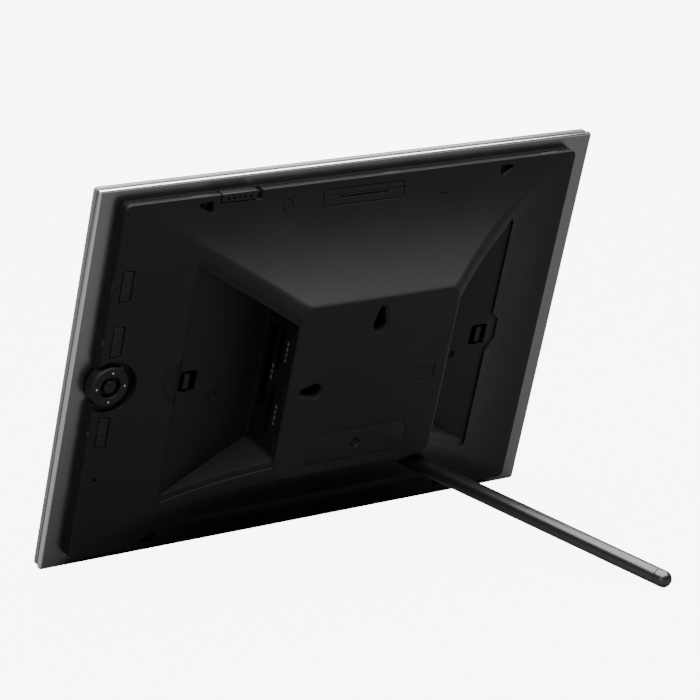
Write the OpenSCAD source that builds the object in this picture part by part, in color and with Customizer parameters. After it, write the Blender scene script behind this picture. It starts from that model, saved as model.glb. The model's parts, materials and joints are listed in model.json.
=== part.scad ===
// Ten-inch digital photo frame with a flared rear cover and a screw-in leg.
// Lengths are in millimetres.  Every module draws in the frame's own upright
// position (x across, y out of the back, z up the frame); place() then leans it.

/* [Frame front] */
// Width of the metal bezel
frame_w = 285.6; // [284:0.2:288]
// Height of the metal bezel
frame_h = 196.1; // [195:0.1:197]
// Angle that the frame leans back when it stands on its leg
lean = 17.4; // [12:0.2:20]
// Thickness of the clear front sheet
sheet_t = 2.7; // [2.4:0.1:3]
// Thickness of the foam gasket behind the sheet
gasket_t = 0.6; // [0.5:0.1:0.8]
// Thickness of the metal bezel at its edge
bezel_t = 2.8; // [2.7:0.1:2.9]
// Width of the picture area
view_w = 222; // [216:1:224]
// Height of the picture area
view_h = 132.5; // [128:0.5:134]

/* [Rear cover] */
// Width of the cover's rim
rim_w = 260.9; // [260:0.1:262]
// Height of the cover's rim
rim_h = 183.8; // [183:0.1:184.4]
// Height of the lower rim edge above the frame's foot
rim_z = 4.7; // [4.4:0.1:5]
// Depth of the upright rim wall, out of the back
rim_d = 5; // [4.8:0.1:5.4]
// Depth of the flat central face, out of the back
face_d = 38; // [37:0.5:40]
// Width of the flat central face
face_w = 90.8; // [90:0.2:92]
// Height of the flat central face
face_h = 90.2; // [90:0.2:92]
// How hollow the flared slopes are, 1 is straight
flare = 1.8; // [1.6:0.05:2]
// Wall thickness of the cover, measured out of the back
wall = 2.8; // [2.6:0.1:3]

/* [Controls] */
// Distance of the control column from the middle
control_x = 123.9; // [123.5:0.1:124.2]
// Length of a side button
button_l = 15; // [13:0.5:16]
// Height of the five-way pad
pad_z = 96.3; // [94:0.1:98]
// Radius of the five-way pad
pad_r = 10.2; // [9.8:0.1:10.4]
// Travel of the power slider
slider_travel = 2.8; // [2:0.1:3]

/* [Leg] */
// Diameter of the leg
leg_dia = 8.1; // [7.6:0.1:8.4]
// How far out of the back the leg's tip reaches
leg_reach = 184.7; // [170:0.1:195]
// How far to the side the leg's tip stands
leg_side = -71.4; // [-74:0.1:-66]

/* [Hidden] */
$fn = 48;

gap = 0.4;            // clearance round a moving key
frame_z0 = -1.3;      // lower edge of the bezel
frame_z1 = frame_z0 + frame_h;
mid_z = frame_z0 + frame_h / 2;
half_w = frame_w / 2;

// depths, out of the back, from the bezel's rear edge
dish = 0.8;           // how far the bezel's rear strips fall towards the cover
bezel_front = -bezel_t;
sheet_back = bezel_front - gasket_t - 0.2;
sheet_front = sheet_back - sheet_t;
edge_r = 1;           // rounding of the bezel's long edges
sheet_in = 0.5;       // how far the sheet stands back from the bezel's outline

// rear cover
rim_x = rim_w / 2;
rim_top = rim_z + rim_h;
face_x = face_w / 2;
face_z = rim_z + rim_h / 2 + 0.2;
face_z0 = face_z - face_h / 2;
face_z1 = face_z + face_h / 2;
flare_steps = 10;
side_wall = 2.2;      // wall thickness measured along the frame
inner_d = face_d - wall;

// side pockets
pocket_floor = 12;
pocket_out = 92;      // outer edge of a pocket, from the middle
pocket_in = 46.5;     // the central box's side wall
ledge = 3.6;          // width of the stepped ledge along a pocket's slanted sides
ledge_d = 1;

// display
lcd_w = 233.6;
lcd_h = 143.6;
lcd_top = 1.8;        // depth of the chassis' rear face
board_d = 13.4;       // depth of the main board's front face
board_t = 1.6;

// cards
card_board_d = 22.3;
cf_z = 102.8;
sd_upper_z = 116.1;
sd_lower_z = 82.8;

// controls
button_w = 5.3;
button_zs = [147.8, 119.5, 72.3];
board_back = -dish + 1;   // rear face of the boards that lie on the bezel
pad_recess_r = 13.2;
pad_recess_d = 3;
import_x0 = -24.9;
import_x1 = 22;
import_z0 = 177.1;
import_z1 = 181.3;
import_top = 184.1;
slider_x0 = 59.9;
slider_x1 = 79.5;

// leg
leg_r = leg_dia / 2;
rest_drop = frame_z0 * cos(lean) + edge_r * (cos(lean) + sin(lean) - 1);
root = [-44, 29, 42.6];
tip = [leg_side, leg_reach, (leg_r + rest_drop + leg_reach * sin(lean)) / cos(lean)];
leg_run = tip - root;
leg_len = norm(leg_run);
leg_turn = atan2(leg_run[1], leg_run[0]);
leg_rise = acos(leg_run[2] / leg_len);
leg_in = 6;           // length of rod inside the cover
stud_r = 2.4;
stud_l = 10;
channel_r = 4.5;
channel_z = 16.7;
channel_d = 8.8;
channel_x0 = -87;
channel_x1 = 75;

// the standing frame: its box is centred on the origin
y_low = sheet_front * cos(lean) + (frame_z0 + sheet_in) * sin(lean);
y_high = tip[2] * sin(lean) + tip[1] * cos(lean) + leg_r;
corner_screws = [for (sx = [-1, 1]) for (top = [0, 1]) [sx * 87.4, top ? 183.5 : 9.4, top, sx]];

module place() {
    translate([0, -(y_low + y_high) / 2, -rest_drop]) rotate([-lean, 0, 0]) children();
}

// a flat shape drawn in x and z, standing from depth d0 to depth d1
module slab(d0, d1) {
    translate([0, d1, 0]) rotate([90, 0, 0]) linear_extrude(d1 - d0) children();
}

// a profile drawn in depth and z, run along x
module along_x(x0, x1) {
    translate([x0, 0, 0]) rotate([90, 0, 90]) linear_extrude(x1 - x0) children();
}

// a profile drawn in x and depth, run along z
module along_z(z0, z1) {
    translate([0, 0, z0]) linear_extrude(z1 - z0) children();
}

module block(x0, x1, d0, d1, z0, z1) {
    translate([x0, d0, z0]) cube([x1 - x0, d1 - d0, z1 - z0]);
}

// a round bar or hole that runs out of the back
module peg(x, z, d0, d1, r) {
    translate([x, d1, z]) rotate([90, 0, 0]) cylinder(h = d1 - d0, r = r);
}

module round_rect(x0, x1, z0, z1, r) {
    translate([x0 + r, z0]) square([x1 - x0 - 2 * r, z1 - z0]);
    translate([x0, z0 + r]) square([x1 - x0, z1 - z0 - 2 * r]);
    for (x = [x0 + r, x1 - r]) for (z = [z0 + r, z1 - r]) translate([x, z]) circle(r = r);
}

// a polygon whose edges are grown by r and whose corners are round
module soft_polygon(points, r) {
    polygon(points);
    for (i = [0:len(points) - 1]) {
        a = points[i];
        b = points[(i + 1) % len(points)];
        translate(a) circle(r = r);
        translate(a) rotate(atan2(b[1] - a[1], b[0] - a[0])) translate([0, -r]) square([norm(b - a), 2 * r]);
    }
}

// a keyhole outline: a round end of radius r1 at the origin, a narrow end r2 at height l;
// the straight sides run a hair inside both rounds, so that they cross them
module keyhole(r1, r2, l) {
    side = asin((r1 - r2) / l);
    hair = 0.08;
    circle(r = r1);
    translate([0, l]) circle(r = r2);
    right = [[(r1 - hair) * cos(side), (r1 - hair) * sin(side)],
        [(r2 - hair) * cos(side), l + (r2 - hair) * sin(side)]];
    polygon([right[0], right[1], [-right[1][0], right[1][1]], [-right[0][0], right[0][1]]]);
}

function flare_d(s) = rim_d + (face_d - rim_d) * pow(s, flare);

function cover_x_profile(inset, drop) = concat(
    [[rim_x - inset, -dish - 1]],
    [for (i = [0:flare_steps]) let (s = i / flare_steps)
        [rim_x + (face_x - rim_x) * s - inset, flare_d(s) - drop]],
    [for (i = [flare_steps:-1:0]) let (s = i / flare_steps)
        [-(rim_x + (face_x - rim_x) * s - inset), flare_d(s) - drop]],
    [[-(rim_x - inset), -dish - 1]]);

function cover_z_profile(inset, drop) = concat(
    [[-dish - 1, rim_z + inset]],
    [for (i = [0:flare_steps]) let (s = i / flare_steps)
        [flare_d(s) - drop, rim_z + (face_z0 - rim_z) * s + inset]],
    [for (i = [flare_steps:-1:0]) let (s = i / flare_steps)
        [flare_d(s) - drop, rim_top + (face_z1 - rim_top) * s - inset]],
    [[-dish - 1, rim_top - inset]]);

// the cover's flared form; inset and drop shrink it to the inside of its walls
module cover_form(inset = 0, drop = 0, foot = -dish) {
    intersection() {
        along_z(0, frame_h) polygon(cover_x_profile(inset, drop));
        along_x(-half_w, half_w) polygon(cover_z_profile(inset, drop));
        slab(foot, face_d) round_rect(-rim_x + inset, rim_x - inset, rim_z + inset, rim_top - inset, 3);
    }
}

// outline of a side pocket on the +x side, at the surface
function pocket_outline(shrink) = [
    [pocket_out - 2, 36 + shrink], [pocket_out - 2, 158 - shrink],
    [pocket_in + 2, 135 - shrink], [pocket_in + 2, 59 + shrink]];

module both_sides() {
    children();
    mirror([1, 0, 0]) children();
}

module side_pocket(grow, floor_d) {
    slab(floor_d, face_d + 1) soft_polygon(pocket_outline(ledge), 2 + grow);
}

module pocket_ledge() {
    difference() {
        slab(pocket_floor, face_d + 1) soft_polygon(pocket_outline(0), 2);
        cover_form(0, ledge_d);
    }
}

module finger_notch() {
    intersection() {
        slab(5, face_d) polygon([[91, 85.5], [98, 92], [98, 103.5], [91, 109]]);
        along_z(80, 115) polygon([[88, 11.9], [98, 10.1], [98, 30], [88, 30]]);
    }
}

module leg_axis(t) {
    translate(root) rotate([0, leg_rise, leg_turn]) translate([0, 0, t]) children();
}

module channel(r) {
    translate([channel_x0 + channel_r, channel_d, channel_z]) rotate([0, 90, 0])
        cylinder(h = channel_x1 - channel_x0 - 2 * channel_r, r = r);
    for (x = [channel_x0 + channel_r, channel_x1 - channel_r]) translate([x, channel_d, channel_z]) sphere(r = r);
}

module screw_recess(c) {
    k = c[3];
    t = c[2] ? 1 : -1;
    slab(2.6, 12) soft_polygon([[c[0] + 2.9 * k, c[1] + 1.0 * t], [c[0] - 2.6 * k, c[1] + 1.4 * t],
        [c[0] - 2.9 * k, c[1] - 2.2 * t]], 1);
}

module key_opening(x0, x1, z0, z1) {
    slab(-dish - 1, 12) round_rect(x0 - gap, x1 + gap, z0 - gap, z1 + gap, 0.8);
}

module front_panel() {
    color([0.75, 0.82, 0.84, 0.5]) place()
        slab(sheet_front, sheet_back)
            round_rect(-half_w + sheet_in, half_w - sheet_in, frame_z0 + sheet_in, frame_z1 - sheet_in, 1.5);
}

module front_mask() {
    color([0.05, 0.05, 0.06]) place() slab(sheet_back, sheet_back + 0.2) difference() {
        square_frame(half_w - 1.2, frame_h / 2 - 1.2);
        square_frame(view_w / 2, view_h / 2);
    }
}

module square_frame(hx, hz) {
    translate([-hx, mid_z - hz]) square([2 * hx, 2 * hz]);
}

module panel_gasket() {
    color([0.08, 0.08, 0.09]) place() slab(sheet_back + 0.2, bezel_front) difference() {
        square_frame(half_w - 1.6, frame_h / 2 - 1.6);
        square_frame(view_w / 2 + 3, view_h / 2 + 3);
    }
}

function edge_arc(cx, cy, a0) = [for (i = [0:5]) [cx + edge_r * cos(a0 + 18 * i), cy + edge_r * sin(a0 + 18 * i)]];

// half profiles of the bezel: rounded edges, and a rear face that falls to the cover
module bezel_x_profile() {
    polygon(concat(edge_arc(half_w - edge_r, bezel_front + edge_r, -90), edge_arc(half_w - edge_r, -edge_r, 0),
        [[rim_x, -dish], [-rim_x, -dish]],
        edge_arc(-half_w + edge_r, -edge_r, 90), edge_arc(-half_w + edge_r, bezel_front + edge_r, 180)));
}

module bezel_z_profile() {
    polygon(concat(edge_arc(bezel_front + edge_r, frame_z0 + edge_r, 180),
        edge_arc(-edge_r, frame_z0 + edge_r, 270),
        [[-dish, rim_z], [-dish, rim_top]],
        edge_arc(-edge_r, frame_z1 - edge_r, 0), edge_arc(bezel_front + edge_r, frame_z1 - edge_r, 90)));
}

module bezel_frame() {
    color([0.45, 0.46, 0.48]) place() difference() {
        intersection() {
            slab(bezel_front, 0) round_rect(-half_w, half_w, frame_z0, frame_z1, 1.5);
            union() {
                intersection() {
                    along_z(frame_z0, frame_z1) bezel_x_profile();
                    along_x(-half_w, half_w) polygon([[bezel_front, frame_z0 + edge_r], [0, frame_z0 + edge_r],
                        [0, frame_z1 - edge_r], [bezel_front, frame_z1 - edge_r]]);
                }
                intersection() {
                    along_x(-half_w, half_w) bezel_z_profile();
                    along_z(frame_z0, frame_z1) polygon([[half_w - edge_r, bezel_front], [half_w - edge_r, 0],
                        [edge_r - half_w, 0], [edge_r - half_w, bezel_front]]);
                }
            }
        }
        slab(bezel_front - 1, 1) square_frame(view_w / 2 + 2, view_h / 2 + 2);
        slab(bezel_front + 0.6, 1) square_frame(lcd_w / 2 + 0.1, lcd_h / 2 + 0.1);
        for (c = corner_screws) peg(c[0], c[1], bezel_front + 0.5, 1, 1.2);
    }
}

module lcd_panel() {
    color([0.07, 0.08, 0.11]) place() slab(bezel_front + 0.6, bezel_front + 2) square_frame(lcd_w / 2, lcd_h / 2);
}

module lcd_backlight() {
    color([0.9, 0.92, 0.93]) place() slab(bezel_front + 2, lcd_top - 0.6) square_frame(lcd_w / 2, lcd_h / 2);
}

module lcd_chassis() {
    color([0.68, 0.7, 0.71]) place() slab(lcd_top - 0.6, lcd_top) difference() {
        square_frame(lcd_w / 2, lcd_h / 2);
        for (x = [-60, 60]) translate([x, mid_z]) circle(r = 12);
    }
}

module lcd_brackets() {
    color([0.72, 0.73, 0.74]) place() for (x = [-95, 95]) for (s = [-1, 1])
        translate([x, 0, mid_z]) mirror([0, 0, s < 0 ? 1 : 0]) along_x(-4, 4)
            polygon([[-dish, lcd_h / 2 + 0.5], [lcd_top + 0.1, lcd_h / 2 + 0.5], [lcd_top + 0.1, lcd_h / 2 - 5],
                [lcd_top + 0.7, lcd_h / 2 - 5], [lcd_top + 0.7, lcd_h / 2 + 1.1], [-dish + 0.6, lcd_h / 2 + 1.1],
                [-dish + 0.6, lcd_h / 2 + 6], [-dish, lcd_h / 2 + 6]]);
}

board_holes = [for (x = [-38, 38]) for (z = [60, 134]) [x, z]];

module main_board() {
    color([0.05, 0.3, 0.16]) place() slab(board_d, board_d + board_t) difference() {
        translate([-42, 56]) square([84, 82]);
        for (h = board_holes) translate(h) circle(r = 1.6);
    }
}

module board_posts() {
    color([0.8, 0.65, 0.25]) place() for (h = board_holes) difference() {
        peg(h[0], h[1], lcd_top, board_d, 2.6);
        peg(h[0], h[1], lcd_top + 4, board_d + 1, 1.3);
    }
}

module board_screws() {
    color([0.75, 0.75, 0.77]) place() for (h = board_holes) difference() {
        union() {
            peg(h[0], h[1], board_d + board_t, board_d + board_t + 1.4, 2.6);
            peg(h[0], h[1], board_d - 5, board_d + board_t, 1.25);
        }
        block(h[0] - 1.5, h[0] + 1.5, board_d + board_t + 0.8, board_d + 4, h[1] - 0.3, h[1] + 0.3);
        block(h[0] - 0.3, h[0] + 0.3, board_d + board_t + 0.8, board_d + 4, h[1] - 1.5, h[1] + 1.5);
    }
}

module shield_can() {
    top = board_d + board_t;
    color([0.74, 0.75, 0.76]) place() difference() {
        block(-28, -4, top, top + 3, 96, 124);
        block(-27.5, -4.5, top - 1, top + 2.5, 96.5, 123.5);
    }
}

module board_chips() {
    top = board_d + board_t;
    color([0.06, 0.06, 0.07]) place() {
        block(-25, -9, top, top + 1.6, 102, 118);
        block(-1, 7, top, top + 1.2, 106, 124);
        block(-24, -12, top, top + 1.2, 84, 92);
        for (i = [0:2]) peg(-2 + 4.5 * i, 84, top, top + 5, 2);
    }
}

// a metal card or plug socket whose mouth faces the +x wall
module socket(x0, x1, d0, d1, z0, z1, skin) {
    difference() {
        block(x0, x1, d0, d1, z0, z1);
        block(x0 + 2, x1 + 1, d0 + skin, d1 - skin, z0 + skin, z1 - skin);
    }
}

module cf_socket() {
    color([0.1, 0.1, 0.11]) place() {
        top = board_d + board_t;
        socket(10.5, 44.2, top, 21.6, cf_z - 22.6, cf_z + 22.6, 0.6);
        for (i = [0:11]) block(12.5, 16, 18.1, 18.7, cf_z - 19.5 + 3.4 * i, cf_z - 18.7 + 3.4 * i);
    }
}

module card_board() {
    color([0.05, 0.3, 0.16]) place() block(9, 43.6, card_board_d, card_board_d + 1.2, 67, 131);
}

module card_board_spacers() {
    color([0.8, 0.65, 0.25]) place() for (z = [70, 128.6]) for (x = [12.5, 32])
        peg(x, z, board_d + board_t, card_board_d, 2);
}

module sd_socket_upper() {
    color([0.72, 0.73, 0.74]) place()
        socket(14, 44.2, card_board_d + 1.2, 27.9, sd_upper_z - 13.4, sd_upper_z + 13.4, 0.5);
}

module sd_socket_lower() {
    color([0.72, 0.73, 0.74]) place()
        socket(14, 44.2, card_board_d + 1.2, 27.9, sd_lower_z - 13.4, sd_lower_z + 13.4, 0.5);
}

lamp_zs = [97, 69.2];

module card_slot_insert() {
    color([0.06, 0.06, 0.065]) place() difference() {
        block(44.35, pocket_in - 0.1, 14.15, 35.85, 63.15, 131.85);
        block(40, 50, 16.2, 21, cf_z - 21.6, cf_z + 21.6);
        block(40, 50, 24.5, 27.2, sd_upper_z - 12.3, sd_upper_z + 12.3);
        block(40, 50, 24.5, 27.2, sd_lower_z - 12.3, sd_lower_z + 12.3);
        for (z = lamp_zs) block(40, 50, 33.1, 34.9, z - 3.6, z + 3.6);
    }
}

module access_lamps() {
    color([0.75, 0.78, 0.8]) place() for (z = lamp_zs) block(44.05, pocket_in - 0.4, 33.1, 34.9, z - 3.6, z + 3.6);
}

module port_insert() {
    color([0.06, 0.06, 0.065]) place() difference() {
        block(-pocket_in + 0.1, -44.35, 14.15, 28.85, 65.15, 127.85);
        translate([-50, 20.2, 75]) rotate([0, 90, 0]) cylinder(h = 10, r = 3.4);
        block(-50, -40, 16, 23.2, 89.6, 104.4);
        block(-50, -40, 17, 21.6, 111.6, 120.4);
    }
}

module dc_inlet() {
    color([0.07, 0.07, 0.08]) place() {
        difference() {
            block(-44.2, -31, board_d + board_t, 25.6, 70, 80);
            translate([-45, 20.2, 75]) rotate([0, 90, 0]) cylinder(h = 11, r = 3.2);
        }
        translate([-43.5, 20.2, 75]) rotate([0, 90, 0]) cylinder(h = 10, r = 0.85);
    }
}

module usb_socket() {
    color([0.75, 0.76, 0.77]) place() mirror([1, 0, 0]) {
        socket(31, 44.2, board_d + board_t, 22.6, 90.2, 103.8, 0.4);
        block(33, 43, 18.6, 20.6, 91.4, 102.6);
    }
}

module mini_usb_socket() {
    color([0.75, 0.76, 0.77]) place() mirror([1, 0, 0]) {
        socket(35, 44.2, board_d + board_t, 21.2, 112, 120, 0.4);
        block(37, 43, 17.6, 18.6, 113.4, 118.6);
    }
}

module coin_cell() {
    color([0.72, 0.73, 0.75]) place() {
        peg(-12, 72, board_d + board_t + 0.6, board_d + board_t + 3.8, 8);
        peg(-12, 72, board_d + board_t, board_d + board_t + 0.6, 6.5);
    }
}

module speaker() {
    color([0.12, 0.12, 0.13]) place() difference() {
        block(-64, -38, -dish, 3.7, 169.4, 177.4);
        for (x = [-57, -45]) peg(x, 173.4, 2.9, 5, 3.2);
    }
}

module ribbon_cable() {
    color([0.85, 0.55, 0.2]) place() {
        block(-16, 8, lcd_top, lcd_top + 0.3, 44, 54.7);
        block(-16, 8, lcd_top, board_d + board_t + 0.9, 54.7, 55);
        block(-16, 8, board_d + board_t + 0.6, board_d + board_t + 0.9, 55, 59.5);
    }
}

module button_board() {
    color([0.05, 0.3, 0.16]) place() block(117.2, 128, -dish, board_back, 60, 160);
}

pad_dome_r = 3.2;     // distance of the pad's outer domes from its middle

module button_domes() {
    color([0.8, 0.8, 0.82]) place() {
        for (z = button_zs) peg(control_x, z, board_back, 0.7, 2);
        for (a = [0:90:270]) peg(control_x + pad_dome_r * cos(a), pad_z + pad_dome_r * sin(a), board_back, 1, 0.8);
        peg(control_x, pad_z, board_back, 1.2, 1.6);
    }
}

module top_board() {
    color([0.05, 0.3, 0.16]) place() {
        block(-30, 80.8, -dish, board_back, 172.6, 185.9);
        peg((import_x0 + import_x1) / 2, 179.2, board_back, 0.9, 2);
    }
}

module power_switch() {
    color([0.7, 0.71, 0.72]) place() block(61, 78.5, board_back, 1.5, 183.6, 185.9);
}

module rear_cover() {
    color([0.1, 0.1, 0.105]) place() difference() {
        cover_form();
        // hollow inside, kept away from every pocket, cup and boss
        difference() {
            cover_form(side_wall, wall, -dish - 1);
            both_sides() side_pocket(side_wall, pocket_floor - 2.2);
            peg(control_x, pad_z, 2, 12, pad_recess_r + 1.5);
            channel(channel_r + 1.7);
            for (c = corner_screws) peg(c[0], c[1], -dish, 9, 5.2);
            leg_axis(-leg_in - stud_l - 1) cylinder(h = 26, r = 6.6);
            block(-face_x, face_x, inner_d - 2.4, inner_d + 1, face_z0, 76.5);
        }
        both_sides() {
            side_pocket(0, pocket_floor);
            pocket_ledge();
            finger_notch();
            slab(5, 20) round_rect(81, 90.4, 91.3, 102.4, 0.8);
            peg(70.6, 87.7, pocket_floor - 0.8, 20, 2.5);
        }
        // upright rim wall: a thin line all round
        difference() {
            slab(1.4, 2.2) round_rect(-rim_x - 1, rim_x + 1, rim_z - 1, rim_top + 1, 3);
            slab(1.3, 2.3) round_rect(-rim_x + 0.5, rim_x - 0.5, rim_z + 0.5, rim_top - 0.5, 2.6);
        }
        // controls
        for (z = button_zs) key_opening(control_x - button_w / 2, control_x + button_w / 2,
            z - button_l / 2, z + button_l / 2);
        peg(control_x, pad_z, pad_recess_d, 12, pad_recess_r);
        peg(control_x, pad_z, -0.3, 12, pad_r + 0.4);
        peg(control_x, 47.1, -dish - 1, 12, 0.85);
        key_opening(import_x0, import_x1, import_z0, import_top);
        peg(42.2, 179.4, 0, 12, 2.9);
        for (i = [0:2]) peg(-46.6 - 2.05 * i, 176.1, 0, 12, 0.5);
        block(slider_x0 - slider_travel - 0.2, slider_x1 + 0.2, 3.2, 12, 184.2, 200);
        block(slider_x0 - slider_travel - 0.2, slider_x1 + 0.2, 0.8, 12, 187.1, 200);
        block(65.5, 74, -1, 12, 184.5, 185.9);
        // corner screws
        for (c = corner_screws) {
            screw_recess(c);
            peg(c[0], c[1], -dish - 1, 6, 1.3);
        }
        // central box: card and port windows, keyholes, label recess, service door
        block(44, 48, 14, 36, 63, 132);
        block(-48, -44, 14, 29, 65, 128);
        translate([0, 0, 128.2]) slab(30, face_d + 1) keyhole(3.75, 1.6, 7.4);
        translate([0, 0, 128.2]) slab(face_d - 0.5, face_d + 1) keyhole(4.7, 2.5, 7.4);
        translate([30.9, 0, 97.4]) rotate([0, 90, 0]) slab(30, face_d + 1) keyhole(3.4, 1.5, 7.4);
        translate([30.9, 0, 97.4]) rotate([0, 90, 0]) slab(face_d - 0.5, face_d + 1) keyhole(4.3, 2.4, 7.4);
        block(-39.5, -27.2, face_d - 0.4, face_d + 1, 93.1, 101.1);
        slab(face_d - 1.9, face_d + 1) door_outline(0.2);
        slab(20, face_d + 1) difference() {
            round_rect(-25.5, 26.5, 59.5, 69.6, 1);
            translate([-3.4, 50]) square([8, 30]);
        }
        peg(0.6, 64.7, 20, face_d, 1.05);
        // leg socket and its channel
        leg_axis(-leg_in - 0.3) cylinder(h = 60, r = leg_r + 0.3);
        leg_axis(-leg_in - stud_l - 2) cylinder(h = 14, r = 4.5);
        channel(channel_r);
        translate([-82, 9.6, 14.6]) sphere(r = 6);
        peg(-49.1, 26.3, 9, 20, 1);
    }
}

module door_outline(grow) {
    soft_polygon([[-26.6, 57.4], [26.5, 57.4], [28, 58.9], [28, 68.4], [24.7, 71.7], [-24.8, 71.7],
        [-28.1, 68.4], [-28.1, 58.9]], 0.9 + grow);
}

module keyhole_plates() {
    color([0.7, 0.71, 0.72]) place() {
        slab(inner_d - 1, inner_d) difference() {
            translate([-10, 121]) square([20, 18]);
            translate([0, 128.2]) keyhole(3.75, 1.6, 7.4);
        }
        translate([30.9, 0, 97.4]) rotate([0, 90, 0]) slab(inner_d - 1, inner_d) difference() {
            translate([-9, -7.2]) square([18, 18]);
            keyhole(3.4, 1.5, 7.4);
        }
    }
}

module access_door() {
    color([0.1, 0.1, 0.105]) place() difference() {
        slab(face_d - 1.9, face_d) door_outline(0);
        peg(0.6, 64.7, face_d - 1.2, face_d + 1, 2);
        peg(0.6, 64.7, 20, face_d + 1, 1.1);
    }
}

// a round-headed screw with a cross slot; its head's underside is at depth d
module screw(x, z, d, head_r, head_t, shank_r, shank_l) {
    difference() {
        union() {
            peg(x, z, d, d + head_t, head_r);
            peg(x, z, d - shank_l, d, shank_r);
        }
        for (a = [45, 135]) translate([x, d + head_t, z]) rotate([0, a, 0])
            cube([1.3 * head_r, head_t, 0.4], center = true);
    }
}

module door_screw() {
    color([0.45, 0.45, 0.47]) place() screw(0.6, 64.7, face_d - 1.2, 1.75, 0.9, 1, 6);
}

module cover_screws() {
    color([0.2, 0.2, 0.21]) place() for (c = corner_screws) screw(c[0], c[1], 2.6, 1.45, 0.9, 1.15, 4.8);
}

module cover_latches() {
    color([0.14, 0.14, 0.15]) place() both_sides() {
        block(84.7, 86.7, lcd_top, 11.6, 92.9, 100.9);
        block(82.6, 88.8, lcd_top, lcd_top + 1, 92.9, 100.9);
        block(86.7, 87.7, 10.4, 11.6, 92.9, 100.9);
    }
}

// a plate that follows the cover's surface, from t0 to t1 below it
module surface_plate(t0, t1) {
    intersection() {
        slab(-1, 14) children();
        difference() {
            cover_form(0, t0);
            cover_form(0, t1, -5);
        }
    }
}

module round_plug() {
    color([0.09, 0.09, 0.095]) place() surface_plate(0.1, 2.7) translate([42.2, 179.4]) circle(r = 2.8);
}

module import_trim() {
    color([0.12, 0.12, 0.13]) place() surface_plate(0.1, 2.2)
        round_rect(import_x0, import_x1, import_z1 + 0.3, import_top, 0.6);
}

module import_button() {
    mid_x = (import_x0 + import_x1) / 2;
    color([0.11, 0.11, 0.115]) place() {
        difference() {
            surface_plate(0, 2.2) round_rect(import_x0, import_x1, import_z0, import_z1, 0.6);
            surface_plate(-1, 0.5) round_rect(mid_x - 14, mid_x + 14, 180, 180.9, 0.3);
        }
        peg(mid_x, 179.2, 1.7, 5.2, 1.6);
    }
}

module power_slider() {
    color([0.13, 0.13, 0.14]) place() {
        difference() {
            block(slider_x0, slider_x1, 3.35, 5.6, 184.4, 188.9);
            for (i = [-2:2]) peg((slider_x0 + slider_x1) / 2 + 3 * i, 186.4, 5.1, 6, 0.5);
        }
        block(slider_x0, slider_x1, 1, 3.35, 187.25, 188.9);
        block(69, 71, 1.7, 3.35, 184.7, 185.7);
    }
}

module side_button(i) {
    z = button_zs[i];
    intersection() {
        slab(1.6, 7) round_rect(control_x - button_w / 2, control_x + button_w / 2,
            z - button_l / 2, z + button_l / 2, 0.6);
        cover_form();
    }
    block(control_x - 3.2, control_x + 3.2, 1.5, 2.1, z - button_l / 2 - 0.6, z + button_l / 2 + 0.6);
    translate([control_x + 1.9, 5.1, z]) sphere(r = 0.6);
}

module side_button_upper() {
    color([0.12, 0.12, 0.125]) place() side_button(0);
}

module side_button_middle() {
    color([0.12, 0.12, 0.125]) place() side_button(1);
}

module side_button_lower() {
    color([0.12, 0.12, 0.125]) place() side_button(2);
}

module pad_pivot() {
    color([0.2, 0.2, 0.21]) place() difference() {
        peg(control_x, pad_z, 2.4, 3.4, 4.9);
        peg(control_x, pad_z, 2, 4, 4);
    }
}

module pad_ring() {
    color([0.11, 0.11, 0.115]) place() {
        difference() {
            union() {
                translate([control_x, 2.4, pad_z]) rotate([-90, 0, 0]) rotate_extrude() {
                    translate([5.5, 0]) square([pad_r - 5.5, 2.6]);
                    translate([5.5, 0]) square([pad_r - 6.5, 3.6]);
                    translate([pad_r - 1, 2.6]) circle(r = 1);
                }
                intersection() {
                    peg(control_x, pad_z, 0.2, 2.6, pad_r);
                    block(129, 140, 0, 3, 80, 110);
                }
            }
            peg(control_x, pad_z, -1, 10, 5.4);
        }
        // a finger reaches over each outer dome
        for (a = [0:90:270]) translate([control_x, 0, pad_z]) rotate([0, a, 0]) {
            block(pad_dome_r - 0.7, 7, 1.3, 2.2, -0.7, 0.7);
            block(5.6, 7, 2, 2.8, -0.7, 0.7);
        }
        for (a = [0:90:270]) peg(control_x + 7.5 * cos(a), pad_z + 7.5 * sin(a), 5.5, 6.1, 0.6);
    }
}

module pad_centre_button() {
    color([0.12, 0.12, 0.125]) place() {
        peg(control_x, pad_z, 3.6, 5.6, 3.3);
        peg(control_x, pad_z, 2, 3.6, 1.6);
    }
}

module leg_socket() {
    color([0.8, 0.65, 0.3]) place() difference() {
        leg_axis(-leg_in - stud_l - 0.9) cylinder(h = stud_l + 0.6, r = 4.5);
        leg_axis(-leg_in - stud_l - 2) cylinder(h = stud_l + 4, r = stud_r + 0.05);
    }
}

module leg_magnets() {
    color([0.7, 0.7, 0.72]) place() for (x = [-50, 45]) peg(x, channel_z, 0.9, 2.5, 3);
}

module leg_rod() {
    color([0.5, 0.5, 0.52]) place() difference() {
        leg_axis(-leg_in) cylinder(h = leg_len + leg_in - 3, r = leg_r);
        leg_axis(-leg_in - 1) cylinder(h = 7, r = 2);
        leg_axis(leg_len - 12) cylinder(h = 12, r = 2);
    }
}

module leg_stud() {
    color([0.72, 0.73, 0.75]) place() {
        leg_axis(-leg_in - stud_l) cylinder(h = stud_l, r = stud_r);
        leg_axis(-leg_in) cylinder(h = 6, r = 2);
    }
}

module leg_foot() {
    color([0.3, 0.3, 0.31]) place() {
        leg_axis(leg_len) intersection() {
            sphere(r = leg_r);
            translate([0, 0, 10]) cube(20, center = true);
        }
        leg_axis(leg_len - 3) cylinder(h = 3, r = leg_r);
        leg_axis(leg_len - 10) cylinder(h = 7.5, r = 2);
    }
}

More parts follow.
